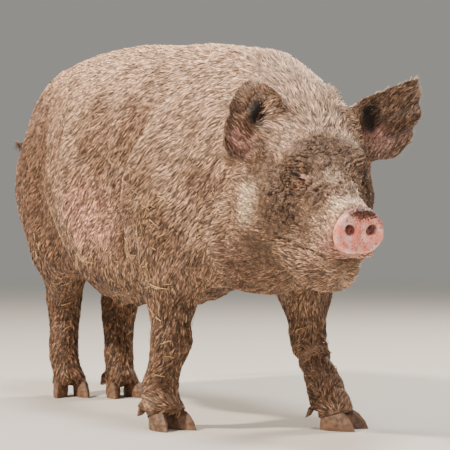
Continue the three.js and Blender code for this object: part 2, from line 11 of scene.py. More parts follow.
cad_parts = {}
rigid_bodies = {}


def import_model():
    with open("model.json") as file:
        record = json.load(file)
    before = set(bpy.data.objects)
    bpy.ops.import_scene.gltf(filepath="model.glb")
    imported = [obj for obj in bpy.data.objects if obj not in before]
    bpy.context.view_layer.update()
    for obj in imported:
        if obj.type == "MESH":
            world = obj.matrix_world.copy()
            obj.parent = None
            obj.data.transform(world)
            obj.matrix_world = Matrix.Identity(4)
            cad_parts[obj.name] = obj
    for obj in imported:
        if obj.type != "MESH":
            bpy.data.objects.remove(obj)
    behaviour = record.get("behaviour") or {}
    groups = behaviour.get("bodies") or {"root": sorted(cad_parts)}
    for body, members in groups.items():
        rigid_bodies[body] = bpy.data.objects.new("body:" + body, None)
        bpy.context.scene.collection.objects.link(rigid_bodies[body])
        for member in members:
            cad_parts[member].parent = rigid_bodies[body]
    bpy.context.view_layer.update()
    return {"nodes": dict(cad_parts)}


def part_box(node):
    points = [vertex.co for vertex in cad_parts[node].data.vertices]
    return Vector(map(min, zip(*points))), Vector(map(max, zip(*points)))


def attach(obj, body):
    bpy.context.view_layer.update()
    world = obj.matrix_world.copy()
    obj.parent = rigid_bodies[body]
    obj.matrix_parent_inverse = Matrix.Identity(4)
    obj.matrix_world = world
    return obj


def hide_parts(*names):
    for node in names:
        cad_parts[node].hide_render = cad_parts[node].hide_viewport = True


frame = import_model()
rng = np.random.default_rng(7)


def say(stage):
    print("stage:", stage)


def linear(hexColour):
    # sRGB hex to the linear values that shaders want
    parts = [int(hexColour[i:i + 2], 16) / 255 for i in (1, 3, 5)]
    return tuple(c / 12.92 if c <= 0.04045 else ((c + 0.055) / 1.055) ** 2.4 for c in parts) + (1.0,)


def smooth(low, high, x):
    # 0 below low, 1 above high, eased between
    t = np.clip((x - low) / (high - low), 0, 1)
    return t * t * (3 - 2 * t)


def band(x, rise, full, fall, end):
    # 1 between full and fall, eased to 0 at rise and at end
    return smooth(rise, full, x) * (1 - smooth(fall, end, x))


def ridge(distance, width):
    # 1 on a line, falling off smoothly on both sides of it
    return np.exp(-(distance / width) ** 2)


def near(points, centre, radii, axes=None):
    # 1 at the centre, falling smoothly to 0 at the ellipsoid with these radii
    offset = points - np.asarray(centre)
    if axes is not None:
        offset = offset @ np.asarray(axes).T
    return 1 - smooth(0, 1, np.linalg.norm(offset / np.asarray(radii), axis=1))


def unit(vectors):
    return vectors / np.maximum(np.linalg.norm(vectors, axis=-1, keepdims=True), 1e-9)


def boxOf(node):
    return [np.array(corner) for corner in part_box(node)]


def centreOf(node):
    low, high = boxOf(node)
    return (low + high) / 2


def added(name, data):
    # a new object in the scene
    piece = bpy.data.objects.new(name, data)
    bpy.context.scene.collection.objects.link(piece)
    return piece


def meshObject(name, vertices, faces):
    mesh = bpy.data.meshes.new(name)
    mesh.from_pydata([tuple(v) for v in vertices], [], [tuple(f) for f in faces])
    mesh.update()
    return added(name, mesh)


def values(items, what, kind=np.float32, width=3):
    flat = np.empty(len(items) * width, dtype=kind)
    items.foreach_get(what, flat)
    return flat.reshape(-1, width)


def pointsOf(piece):
    return values(piece.data.vertices, "co").astype(np.float64)


def normalsOf(piece):
    return values(piece.data.vertex_normals, "vector").astype(np.float64)


def setPoints(piece, points):
    piece.data.vertices.foreach_set("co", points.astype(np.float32).ravel())
    piece.data.update()


def newMaterial(name):
    # the material, and a function that adds a node with its settings and its inputs, each of which is a
    # value or the (node, output) that is linked to it
    material = bpy.data.materials.new(name)
    material.use_nodes = True
    tree = material.node_tree
    tree.nodes.clear()

    def add(kind, inputs, **settings):
        node = tree.nodes.new(kind)
        for key, value in settings.items():
            setattr(node, key, value)
        for socket, value in inputs.items():
            if isinstance(value, tuple) and isinstance(value[0], bpy.types.Node):
                tree.links.new(value[0].outputs[value[1]], node.inputs[socket])
            else:
                node.inputs[socket].default_value = value
        return node

    return material, add


def layered(add, below, above, amount, start=None, full=None):
    # one colour laid over another by an amount, eased from none at start to all at full where these are given
    if start is not None:
        span = {"Value": amount, "From Min": start, "From Max": full}
        amount = add("ShaderNodeMapRange", span, interpolation_type="SMOOTHSTEP"), "Result"
    below, above = (linear(colour) if isinstance(colour, str) else colour for colour in (below, above))
    return add("ShaderNodeMix", {0: amount, 6: below, 7: above}, data_type="RGBA"), 2


def summed(add, first, *others):
    # the first value, plus each of the others by its own factor
    for value, factor in others:
        first = add("ShaderNodeMath", {0: value, 1: factor, 2: first}, operation="MULTIPLY_ADD"), "Value"
    return first


cameraPlace = {
    "feet": (0.2914, -0.0113, 0),    # the floor midway between the forefeet
    "distance": 5.30,    # from the middle of the forefeet, along the view
    "turn": 63.5,        # the animal faces the camera and a little to its right
    "height": 0.582,
    "pitch": -1.09,
    "aside": 0.0587,     # the forefeet stand this far right of the view's middle
    "lens": 180.6,
    "sensor": 36.0,
}


def makeCamera():
    turn = math.radians(cameraPlace["turn"])
    ahead = np.array([-math.sin(turn), math.cos(turn), 0])
    right = np.array([math.cos(turn), math.sin(turn), 0])
    spot = np.array(cameraPlace["feet"]) - ahead * cameraPlace["distance"] - right * cameraPlace["aside"]
    data = bpy.data.cameras.new("camera")
    data.lens = cameraPlace["lens"]
    data.sensor_width = cameraPlace["sensor"]
    data.clip_end = 60
    camera = added("camera", data)
    camera.location = (spot[0], spot[1], cameraPlace["height"])
    camera.rotation_euler = (math.radians(90 + cameraPlace["pitch"]), 0, turn)
    bpy.context.scene.camera = camera


makeCamera()
say("camera")

# landmarks of the animal
eyes = {side: centreOf(f"eye_{side}") for side in ("left", "right")}
disc = centreOf("snout")
betweenEyes = (eyes["left"] + eyes["right"]) / 2
faceAhead = unit(disc - betweenEyes)                      # from the eyes down the nose
faceLeft = unit(eyes["left"] - eyes["right"])
faceLeft = unit(faceLeft - faceAhead * (faceLeft @ faceAhead))
faceUp = np.cross(faceAhead, faceLeft)
faceAxes = np.array([faceAhead, faceLeft, faceUp])
bothSides = (("left", 1), ("right", -1))                  # the animal's left is +Y
middleLine = -0.011                                       # the body's middle, across


def onFace(points):
    # metres ahead, left and up from the point between the eyes
    return (points - betweenEyes) @ faceAxes.T


eyeBall = {"radius": 0.0127, "cover": 0.0012}    # metres, and the skin over the ball
fleshNodes = [
    "trunk", "neck", "head", "lower_jaw", "snout", "ear_left", "ear_right", "tail",
    "foreleg_left", "foreleg_right", "hindleg_left", "hindleg_right",
]
skinShape = {
    "voxel": 0.0038, "quickVoxel": 0.006,
    "seal": 0.0004,         # how far the parts grow to close the cuts between them
    "rounds": 260,          # smoothing steps
    "step": 0.5,            # how far a step goes where the smoothing is full
    "keptForm": {"headAndLegs": 0.86, "earsAndTail": 0.90, "disc": 0.95, "feet": 0.96},
    "coatDepth": 0.005,     # how deep the skin lies under the coat's tips
    "faceDepth": 0.002,
    "faces": 150000,        # before the face is divided finer
}


def smoothed(rows, edges, strength):
    # evens the rows out along the edges, each vertex by its own strength
    many = len(rows)
    count = np.bincount(edges.ravel(), minlength=many).astype(float)
    count = np.maximum(count, 1)[:, None]
    a, b = edges.T
    for _ in range(skinShape["rounds"]):
        total = np.empty_like(rows)
        for axis, column in enumerate(rows.T):
            total[:, axis] = np.bincount(a, column[b], many) + np.bincount(b, column[a], many)
        rows = rows + strength[:, None] * (total / count - rows)
    return rows


earShape = {
    "freeFrom": {"left": 0.118, "right": 0.112},    # how far out of the face's middle an ear stands free
    # places in each ear's box: out from its inner edge and up from its lowest point, as shares
    "bowl": {"left": (0.38, 0.60), "right": (0.29, 0.64)},
    "pink": {"left": (0.45, 0.38), "right": (0.66, 0.32)},
    "root": (0.15, 0.30),
    "deep": 0.022,
    "ridge": 0.0018, "ridges": 9,
}


def earness(points):
    # 1 on the free part of an ear
    value = np.zeros(len(points))
    for side, sign in bothSides:
        low, high = boxOf(f"ear_{side}")
        inside = np.all((points > low - 0.006) & (points < high + 0.006), axis=1)
        root = earShape["freeFrom"][side]
        out = onFace(points)[:, 1] * sign
        up = points[:, 2] - betweenEyes[2]
        free = np.maximum(smooth(root, root + 0.012, out), smooth(0.165, 0.19, up))
        value = np.maximum(value, inside * free * smooth(0.030, 0.042, points[:, 2] - low[2]))
    return value


def earPlace(side, out, up):
    # a spot in an ear's box: out from its inner edge and up from its lowest point, as shares
    low, high = boxOf(f"ear_{side}")
    return low + (high - low) * [0.5, out if side == "left" else 1 - out, up]


def voxelSize():
    return skinShape["voxel"]


def wholeFlesh():
    # one closed mesh over all the flesh, its parting cuts healed
    vertices, faces = [], []
    for node in fleshNodes:
        source = frame["nodes"][node].data
        start = len(vertices)
        vertices.extend(vertex.co.copy() + vertex.normal * skinShape["seal"] for vertex in source.vertices)
        faces.extend([start + i for i in polygon.vertices] for polygon in source.polygons)
    # balls fill the eye sockets and the middle of the disc
    balls = [(eyes[side], eyeBall["radius"] + eyeBall["cover"]) for side in eyes]
    balls.append((disc - faceAhead * 0.002, 0.017))
    for centre, radius in balls:
        ball = bmesh.new()
        bmesh.ops.create_icosphere(ball, subdivisions=3, radius=radius)
        start = len(vertices)
        vertices.extend(Vector(centre) + vertex.co for vertex in ball.verts)
        faces.extend([start + vertex.index for vertex in face.verts] for face in ball.faces)
        ball.free()
    piece = meshObject("hide", vertices, faces)
    remesh = piece.modifiers.new("one", "REMESH")
    remesh.mode = "VOXEL"
    remesh.voxel_size = voxelSize()
    applyModifiers(piece)
    return piece


def applyModifiers(piece):
    graph = bpy.context.evaluated_depsgraph_get()
    fresh = bpy.data.meshes.new_from_object(piece.evaluated_get(graph))
    old = piece.data
    piece.modifiers.clear()
    piece.data = fresh
    bpy.data.meshes.remove(old)


def treeOf(*pieces):
    # the pieces' faces, for finding the nearest place on them
    points, polygons = [], []
    for piece in pieces:
        first = len(points)
        points += [piece.matrix_world @ vertex.co for vertex in piece.data.vertices]
        polygons += [[first + n for n in polygon.vertices] for polygon in piece.data.polygons]
    return BVHTree.FromPolygons(points, polygons)


def coatDepth(points):
    # the coat is thinnest on the disc, then the ears and the face
    onHead = smooth(-0.12, 0.0, onFace(points)[:, 0])
    depth = skinShape["coatDepth"] + (skinShape["faceDepth"] - skinShape["coatDepth"]) * onHead
    depth = depth * (1 - 0.8 * earness(points))
    depth = depth * smooth(0.02, 0.12, points[:, 2])
    return depth * (1 - near(points, disc, [0.075] * 3))


def makeHide():
    # the flesh smoothed as one skin, least where its form is fine, given back what that took off, and then
    # set below the coat's tips
    piece = wholeFlesh()
    say(f"remeshed {len(piece.data.vertices)}")
    tree = treeOf(piece)
    points, edges = pointsOf(piece), values(piece.data.edges, "vertices", np.int32, 2)
    kept = skinShape["keptForm"]
    onHead = smooth(-0.2, -0.05, onFace(points)[:, 0])
    onLeg = 1 - smooth(0.36, 0.46, points[:, 2])
    onTail = 1 - smooth(-0.845, -0.825, points[:, 0])
    strength = 1 - kept["headAndLegs"] * np.maximum(onHead, onLeg)
    strength *= 1 - kept["earsAndTail"] * np.maximum(earness(points), onTail)
    strength *= 1 - kept["disc"] * near(points, disc, [0.09] * 3)
    strength *= 1 - kept["feet"] * (1 - smooth(0.07, 0.12, points[:, 2]))
    strength *= skinShape["step"] * (skinShape["voxel"] / voxelSize()) ** 2
    even = smoothed(points, edges, strength)
    setPoints(piece, even)
    normals = normalsOf(piece)
    nearest = np.array([tree.find_nearest(Vector(spot))[0] for spot in even])
    lost = np.sum((nearest - even) * normals, axis=1)
    lost = smoothed(lost[:, None], edges, strength)[:, 0]
    setPoints(piece, even + normals * (lost - coatDepth(even))[:, None])
    return piece


def thinned(piece, target):
    # fewer faces on the body, all of them kept on the head and ears
    points = pointsOf(piece)
    keep = np.maximum(smooth(-0.16, -0.10, onFace(points)[:, 0]), earness(points))
    group = piece.vertex_groups.new(name="thin")
    for i in np.nonzero(keep < 0.999)[0]:
        group.add([int(i)], float(1 - keep[i]), "REPLACE")
    thin = piece.modifiers.new("thin", "DECIMATE")
    thin.vertex_group = "thin"
    thin.ratio = target / max(1, 2 * len(piece.data.polygons))
    applyModifiers(piece)
    piece.vertex_groups.clear()


def refined(piece, chosen):
    # each face whose centre is chosen is divided in four
    mesh = bmesh.new()
    mesh.from_mesh(piece.data)
    picked = chosen(np.array([face.calc_center_median() for face in mesh.faces]))
    mesh.faces.ensure_lookup_table()
    edges = {edge for i in np.nonzero(picked)[0] for edge in mesh.faces[i].edges}
    bmesh.ops.subdivide_edges(mesh, edges=list(edges), cuts=1, use_grid_fill=True)
    bmesh.ops.triangulate(mesh, faces=[face for face in mesh.faces if len(face.verts) > 4])
    mesh.to_mesh(piece.data)
    mesh.free()


def eyeFrame(side):
    # the way out of the eye, the slit's direction towards the nose, and up across the lids
    sign = 1 if side == "left" else -1
    out = unit(0.40 * faceAhead + sign * 0.84 * faceLeft + 0.36 * faceUp)
    slit = unit(np.cross([0, 0, 1], out)) * -sign
    slit = unit(slit - np.array([0, 0, 0.25]))
    slit = unit(slit - out * (slit @ out))
    up = np.cross(out, slit)
    up = up if up[2] > 0 else -up
    return out, slit, up


def waves(points, lengths, seed):
    # cheap smooth noise, about -1 to 1: sums of sines along random directions
    source = np.random.default_rng(seed)
    total = np.zeros(len(points))
    for length in lengths:
        for _ in range(4):
            direction = unit(source.normal(size=3))
            total += np.sin(points @ direction * 2 * math.pi / length + source.uniform(0, 6.28))
    return total / (2 * len(lengths))


lids = {
    "halfWidth": 0.0160,
    "open": {"left": 0.0032, "right": 0.0026},    # half the slit's height
    "thickness": 0.0016,
    "lip": 0.0010, "crease": 0.0018, "bag": 0.0014,
    "wrinkle": 0.0009, "wrinkleSpacing": 0.0062,
    "corner": {"left": 0.30, "right": 1.0},       # how much of the pink inner corner shows
    "cornerSwell": 0.0022,
    "sunk": 0.0028,                               # how far the slit's floor lies under the ball's surface
}


def innerCorner(points, side):
    # the bare pink flesh between the lids, on the side of the nose
    out, slit, up = eyeFrame(side)
    place = eyes[side] + slit * 0.0195 + up * 0.0015 + out * 0.006
    return lids["corner"][side] * near(points, place, [0.014, 0.0075, 0.022], [slit, up, out])


def sculptEye(points, normals, side):
    # lids lie on the ball, thick at the edge, and the slit's floor sinks behind it
    out, slit, up = eyeFrame(side)
    offset = points - eyes[side]
    along, across, away = offset @ slit, offset @ up, offset @ out
    reach = np.linalg.norm(offset, axis=1)
    halfWidth = lids["halfWidth"]
    arch = np.sqrt(np.clip(1 - (along / halfWidth) ** 2, 0, 1))
    half = lids["open"][side] * arch
    front = away > 0
    close = (1 - smooth(0.016, 0.030, np.hypot(along, across))) * front
    edge = np.abs(across - (0.0012 - 0.0005 * arch))
    gap = 1 - smooth(half * 0.75, half + 0.0007, edge)
    gap *= (np.abs(along) < halfWidth) * front * (reach < 0.024)
    lip = ridge(edge - half - 0.0012, 0.0011) * (np.abs(along) < halfWidth * 1.1)
    sag = (halfWidth ** 2 - along ** 2) / halfWidth
    crease = ridge(across - 0.0075 - 0.3 * sag, 0.0011)
    bag = ridge(across + 0.0068 + 0.2 * sag, 0.0013)
    wrinkle = (across + 0.35 * np.abs(along)) * 2 * math.pi / lids["wrinkleSpacing"]
    wrinkle = np.sin(wrinkle + 2 * waves(points, [0.03], 5)) * band(reach, 0.012, 0.018, 0.035, 0.055) * front
    push = (lids["lip"] * lip - lids["crease"] * crease - lids["bag"] * bag) * close
    push += lids["wrinkle"] * wrinkle + lids["cornerSwell"] * innerCorner(points, side)
    moved = points + normals * push[:, None]
    offset = moved - eyes[side]
    reach = np.linalg.norm(offset, axis=1)
    lidRadius = eyeBall["radius"] + lids["thickness"]
    onBall = close * front * (reach < lidRadius + 0.003)
    fitted = np.maximum(reach, lidRadius + push) * (1 - gap) + (eyeBall["radius"] - lids["sunk"]) * gap
    weight = np.maximum(onBall, gap)
    return moved + offset * ((fitted / np.maximum(reach, 1e-6) - 1) * weight)[:, None]


snoutShape = {
    "tilt": 18,                             # degrees that the disc faces up from the line of the nose
    "halfWidth": 0.056, "halfHeight": 0.051,
    "nostrilAside": 0.0245, "nostrilUp": 0.006, "nostrilWide": 0.0105, "nostrilHigh": 0.0120,
    "nostrilDeep": 0.012, "nostrilLip": 0.0022,
    "dish": 0.0034, "rim": 0.0036, "notch": 0.0060, "middleGroove": 0.0022, "uneven": 0.0009,
    "grooveBehind": 0.0050,
    "soilAndShade": {"top": 0.70, "nostrils": 0.75, "groove": 0.50},
}


def discAxes():
    # out of the disc's face, to the animal's left, and up across it
    tilt = math.radians(snoutShape["tilt"])
    out = faceAhead * math.cos(tilt) + faceUp * math.sin(tilt)
    return out, faceLeft, np.cross(out, faceLeft)


def onDiscFace(points):
    # metres out of the disc's face, to the animal's left and up across it
    return ((points - disc) @ np.array(discAxes()).T).T


def sculptSnout(points, normals):
    # the disc's form, and the soil on it
    shape = snoutShape
    away, aside, high = onDiscFace(points)
    front = smooth(-0.002, 0.008, away) * (normals @ discAxes()[0] > 0.2)
    radius = np.hypot(aside / shape["halfWidth"], high / shape["halfHeight"])
    ragged = 0.5 + 0.5 * waves(points, [0.012, 0.006], 12)
    soilAndShade = smooth(0.016, 0.050, high + 0.014 * (ragged - 0.5)) * shape["soilAndShade"]["top"]
    push = np.zeros(len(points))
    for sign in (1, -1):
        outward, upward = aside - sign * shape["nostrilAside"], high - shape["nostrilUp"]
        slanted = (outward - sign * 0.25 * upward) / shape["nostrilWide"]
        hole = np.hypot(slanted, upward / shape["nostrilHigh"])
        push -= shape["nostrilDeep"] * (1 - smooth(0.55, 1.05, hole))
        push += shape["nostrilLip"] * ridge(hole - 1.3, 0.25)
        stain = (1 - smooth(0.006, 0.0165, np.hypot(outward, upward))) * (0.5 + 0.5 * ragged)
        soilAndShade = np.maximum(soilAndShade, shape["soilAndShade"]["nostrils"] * stain)
    soilAndShade = np.maximum(soilAndShade, shape["soilAndShade"]["groove"] * ridge(aside, 0.005) * ragged)
    push -= shape["dish"] * (1 - smooth(0.0, 0.8, radius))
    push += shape["rim"] * ridge(radius - 0.86, 0.13)
    push -= shape["notch"] * ridge(aside, 0.005) * smooth(-0.024, -0.046, high)
    push += shape["middleGroove"] * ridge(aside, 0.006) * band(high, -0.03, 0.0, 0.02, 0.04)
    push += shape["uneven"] * waves(points, [0.016, 0.009], 11)
    push = push * front - shape["grooveBehind"] * ridge(away + 0.018, 0.0055) * (radius < 1.45)
    return points + normals * push[:, None], soilAndShade * (away > -0.010) * (radius < 1.3)


def skinFold(side, at, lean, low, high, deep, swell):
    return {"side": side, "at": at, "lean": lean, "low": low, "high": high, "deep": deep, "swell": swell}


bodyFolds = (
    # side, where it crosses mid height, its lean, its span in height, its depth and the swell beside it
    skinFold(-1, 0.077, 0.60, 0.37, 0.76, 0.024, 0.021),      # behind the shoulders
    skinFold(1, 0.150, 0.45, 0.37, 0.76, 0.024, 0.021),
    skinFold(-1, -0.255, -0.06, 0.34, 0.76, 0.020, 0.018),    # ahead of the thighs
    skinFold(1, -0.275, -0.06, 0.34, 0.76, 0.020, 0.018),
    skinFold(-1, -0.47, -0.35, 0.36, 0.66, 0.006, 0.006),     # across the thighs
    skinFold(1, -0.47, -0.35, 0.36, 0.66, 0.006, 0.006),
)


def foldPlace(points, fold):
    # how far ahead of a fold each point is, and whether it lies on the fold's span
    x, y, z = points.T
    ahead = x - fold["at"] - fold["lean"] * (z - 0.54) - 0.016 * waves(points, [0.35, 0.17], 51)
    span = band(z, fold["low"], fold["low"] + 0.06, fold["high"] - 0.14, fold["high"])
    return ahead, span * smooth(0.10, 0.15, y * fold["side"])


bodyShape = {
    "lumps": 0.0035, "unevenness": 0.0012, "cakes": 0.0013,
    "shank": {"all": 0.002, "hind": 0.005},      # thickness of hair and mud on the legs
    "legCrease": 0.0020, "legCreaseSpacing": 0.026,
    "neckCreases": ((0, 0.0065), (-0.055, 0.004), (-0.105, 0.003)),    # place behind the jowl, and depth
    "teat": 0.011, "udder": 0.006, "teats": 6,
}


def sculptBody(points, normals):
    shape = bodyShape
    x, y, z = points.T
    ahead, aside, up = onFace(points).T
    push = np.zeros(len(points))
    body = (1 - smooth(-0.12, -0.04, ahead)) * (1 - earness(points))
    for fold in bodyFolds:
        apart, span = foldPlace(points, fold)
        push -= fold["deep"] * ridge(apart + 0.006, 0.017) * span
        push += fold["swell"] * ridge(apart - 0.040, 0.032) * span
        push -= fold["swell"] * 0.8 * ridge(apart + 0.055, 0.045) * span
    # soft lumps of fat and muscle, and small unevenness everywhere but on the face
    push += shape["lumps"] * waves(points, [0.26, 0.15], 52) * body
    push += shape["unevenness"] * waves(points, [0.05, 0.03], 53) * body
    # caked mud low on the legs and the belly
    low = 1 - smooth(0.30, 0.42, z)
    push += shape["cakes"] * waves(points, [0.034, 0.021], 54) * low * smooth(0.05, 0.09, z)
    # the legs are thick with hair and mud, the hind ones most
    thick = shape["shank"]["all"] + shape["shank"]["hind"] * (1 - smooth(-0.30, -0.20, x))
    push += thick * band(z, 0.08, 0.14, 0.36, 0.46)
    # creases across the legs, closest at knee and hock
    bend = z + 0.18 * (x - 0.2 * y) + 0.008 * waves(points, [0.06], 55)
    bend = np.abs(np.sin(bend * math.pi / shape["legCreaseSpacing"]))
    crossed = band(z, 0.10, 0.15, 0.27, 0.33) * body
    push -= shape["legCrease"] * (1 - bend ** 0.5) * crossed * (0.6 + 0.4 * waves(points, [0.07], 56))
    # creases round the neck behind the jowl
    behind = ahead + 0.155 + 0.25 * (up + 0.12) + 0.010 * waves(points, [0.12], 57)
    throat = smooth(0.04, 0.10, np.abs(aside)) * (1 - smooth(0.02, 0.06, up))
    for place, deep in shape["neckCreases"]:
        push -= deep * ridge(behind - place, 0.010) * throat
        push += deep * 0.8 * ridge(behind - place + 0.026, 0.016) * throat
    # two rows of teats under the belly
    under = smooth(0.2, 0.7, -normals[:, 2]) * (z < 0.40)
    for row in (-1, 1):
        for n in range(shape["teats"]):
            reach = np.hypot(x - 0.04 + 0.098 * n, y - row * 0.085 - middleLine)
            push += (shape["udder"] * ridge(reach, 0.030) + shape["teat"] * ridge(reach, 0.010)) * under
    return points + normals * push[:, None]


def sculptEars(points, normals):
    # the bowl of each ear is deep at its root, with ridges that run out towards the tip
    for side, sign in bothSides:
        low, high = boxOf(f"ear_{side}")
        facing = unit(np.array([0.9, 0.35 * sign, 0]))
        front = smooth(0.1, 0.5, normals @ facing)
        inBox = np.all((points > low - 0.01) & (points < high + 0.01), axis=1)
        bowl = near(points, earPlace(side, *earShape["bowl"][side]), [0.08, 0.042, 0.062]) * front
        spot = points - earPlace(side, *earShape["root"])
        angle = np.arctan2(spot[:, 2], spot[:, 1] * sign)
        reach = np.hypot(spot[:, 1], spot[:, 2])
        ribs = np.sin(angle * earShape["ridges"] + 1.5 * waves(points, [0.08], 61))
        ribs *= band(reach, 0.03, 0.06, 0.13, 0.19) * front * inBox
        push = earShape["ridge"] * ribs - earShape["deep"] * bowl
        points = points + facing * push[:, None]
    return points


def plates(points, size, seed):
    # 0 on the cracks between irregular plates and 1 inside them, and a height for each plate
    source = np.random.default_rng(seed)
    kept = []
    for spot in points[source.choice(len(points), max(8, int(len(points) * 0.02)), replace=False)]:
        if all(np.linalg.norm(spot - other) > size * 0.62 for other in kept):
            kept.append(spot)
    spots = KDTree(len(kept))
    for i, spot in enumerate(kept):
        spots.insert(spot, i)
    spots.balance()
    bend = [waves(points, [size * 1.3, size * 0.6], seed + n) for n in (1, 2, 3)]
    bent = points + size * 0.28 * np.stack(bend, axis=1)
    found = [spots.find_n(spot, 2) for spot in bent]
    gap = np.array([pair[1][2] - pair[0][2] for pair in found])
    height = source.uniform(-1, 1, len(kept))[[pair[0][1] for pair in found]]
    return smooth(0, size * 0.20, gap), height


faceShape = {
    # where mud is caked: ahead, left and up of the middle between the eyes, and its reach
    "caked": (
        ([0.000, -0.095, -0.055], [0.085, 0.070, 0.105]),
        ([0.000, 0.095, -0.055], [0.085, 0.070, 0.105]),
        ([-0.055, 0.000, 0.045], [0.050, 0.110, 0.060]),
        ([0.060, 0.000, 0.010], [0.090, 0.085, 0.060]),
    ),
    # it lies in plates that are cracked into flakes
    "plate": 0.021, "plateDeep": 0.0042, "plateStep": 0.0010, "flake": 0.012, "flakeDeep": 0.0014,
    "ringSpacing": 0.0105, "ringDeep": 0.0036,          # folds that arch over and under each eye
    "browSwell": 0.0040, "browFurrow": 0.0035,
    "noseFoldSpacing": 0.027, "noseFoldDeep": 0.0034,
    # folds on the right, repeated on the left: their two ends, and their depth
    "folds": (
        ([-0.026, -0.106, -0.014], [0.030, -0.072, -0.020], 0.0045),
        ([0.012, -0.068, 0.002], [0.082, -0.046, -0.030], 0.0045),
        ([0.058, -0.052, 0.002], [0.072, 0.000, 0.020], 0.0035),
        ([0.086, -0.052, -0.012], [0.100, 0.000, 0.012], 0.0035),
        ([-0.064, -0.082, 0.048], [-0.020, -0.014, 0.056], 0.0035),
        ([-0.010, -0.120, -0.060], [0.060, -0.086, -0.074], 0.0050),
        ([0.090, -0.074, -0.114], [0.026, -0.098, -0.152], 0.0050),
    ),
    "foldWide": 0.0034, "foldSway": 0.0030,
    # the mouth's height at its front end, which lies this far ahead, and how it drops behind
    "mouth": {"height": -0.079, "end": 0.200, "slope": 0.42, "deep": 0.0065, "upperLip": 0.0035,
              "lowerLip": 0.0025},
}


def foldNear(face, start, end):
    # how far each point is from the line between two places
    start, end = np.array(start), np.array(end)
    along = np.clip((face - start) @ (end - start) / ((end - start) @ (end - start)), 0, 1)
    return np.linalg.norm(face - start - along[:, None] * (end - start), axis=1)


def sculptFace(points, normals):
    # the face's form, and the painted shade in its cracks and folds
    shape = faceShape
    face = onFace(points)
    ahead, aside, up = face.T
    push, cracks = np.zeros(len(points)), np.zeros(len(points))
    # dried mud lies in cracked plates over the brow, the cheeks and the sides of the nose
    caked = smooth(0.05, 0.35, np.max([near(face, place, size) for place, size in shape["caked"]], axis=0))
    chosen = np.nonzero(caked > 0)[0]
    inner, height = plates(points[chosen], shape["plate"], 71)
    finer, _ = plates(points[chosen], shape["flake"], 72)
    share = caked[chosen] * (0.65 + 0.35 * waves(points[chosen], [0.06], 73))
    relief = shape["plateDeep"] * (inner - 1) + shape["flakeDeep"] * (finer - 1)
    push[chosen] += share * (relief + shape["plateStep"] * height * inner)
    # painted shade in the cracks between the mud plates
    cracks[chosen] = share * np.maximum(1 - inner, 0.5 * (1 - finer))
    # long folds that arch over each eye and run down under it
    for side in eyes:
        out, slit, lidUp = eyeFrame(side)
        offset = points - eyes[side]
        away = np.hypot(offset @ slit / 1.35, offset @ lidUp + 0.002)
        beside = (offset @ out > -0.03) * (1 - smooth(0.040, 0.062, away)) * smooth(0.0125, 0.017, away)
        bend = away + 0.0035 * waves(points, [0.045, 0.025], 74)
        ring = 1 - np.abs(np.sin(bend * math.pi / shape["ringSpacing"])) ** 0.55
        push -= shape["ringDeep"] * ring * beside
        # painted shade in the folds round the eye
        cracks = np.maximum(cracks, smooth(0.55, 0.95, ring) * beside * 0.9)
        brow = eyes[side] + lidUp * 0.016 + out * 0.008
        push += shape["browSwell"] * near(points, brow, [0.030, 0.030, 0.016])
    # a few big folds across the nose
    across = ahead - 0.6 * np.abs(aside) + 0.010 * waves(points, [0.09, 0.05], 21)
    bridge = band(ahead, -0.02, 0.02, 0.10, 0.14) * smooth(-0.06, -0.01, up)
    fold = (1 - np.abs(np.sin(across * math.pi / shape["noseFoldSpacing"])) ** 0.45) * bridge
    push -= shape["noseFoldDeep"] * fold
    # painted shade in the folds across the nose
    cracks = np.maximum(cracks, 0.6 * smooth(0.5, 0.9, fold))
    sway = shape["foldSway"] * np.stack([waves(face, [0.034, 0.015], seed) for seed in (77, 78, 79)], axis=1)
    for start, end, deep in shape["folds"]:
        for sign in (1, -1):
            apart = foldNear(face * [1, sign, 1] + sway, start, end)
            push -= deep * ridge(apart, shape["foldWide"])
            push += deep * 0.7 * ridge(apart - 0.0095, 0.0055) * (apart < 0.03)
            # painted shade along each fold
            cracks = np.maximum(cracks, 0.8 * ridge(apart, 0.0026))
    push -= shape["browFurrow"] * near(face, [-0.02, 0, 0.045], [0.07, 0.010, 0.06])
    # the mouth: a groove from under the disc back to its corner, between two lips
    mouth = shape["mouth"]
    over = up - (mouth["height"] - mouth["slope"] * (mouth["end"] - ahead))
    span = band(ahead, 0.070, 0.110, 0.212, 0.225)
    push -= mouth["deep"] * ridge(over, 0.0035) * span
    push += mouth["upperLip"] * ridge(over - 0.011, 0.006) * span
    push += mouth["lowerLip"] * ridge(over + 0.012, 0.007) * span
    return points + normals * push[:, None], np.clip(cracks, 0, 1)


def sculpt(piece):
    # each form in turn; what comes back is how much painted shade lies in the face's cracks and folds and how
    # much dark soil on the disc, on each vertex
    for step in (sculptBody, sculptEars):
        setPoints(piece, step(pointsOf(piece), normalsOf(piece)))
    soilAndShade = []
    for step in (sculptFace, sculptSnout):
        moved, dark = step(pointsOf(piece), normalsOf(piece))
        setPoints(piece, moved)
        soilAndShade.append(dark)
    for side in eyes:
        setPoints(piece, sculptEye(pointsOf(piece), normalsOf(piece), side))
    return np.max(soilAndShade, axis=0)


def faceZone(centres):
    face = onFace(centres)
    return (face[:, 0] > -0.05) & (face[:, 2] > -0.16)


def eyeZone(centres):
    reach = np.minimum(*(np.linalg.norm(centres - eyes[side], axis=1) for side in eyes))
    away, aside, high = np.abs(onDiscFace(centres))
    return (reach < 0.034) | ((away < 0.03) & (aside < 0.07) & (high < 0.07))


hide = makeHide()
thinned(hide, skinShape["faces"])
refined(hide, faceZone)
refined(hide, eyeZone)
say(f"refined {len(hide.data.polygons)}")
# painted shade in the face's cracks and folds, and dark soil on the disc
soilAndShade = sculpt(hide)
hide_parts(*fleshNodes)
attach(hide, "root")
hide.data.polygons.foreach_set("use_smooth", [True] * len(hide.data.polygons))
say("hide")

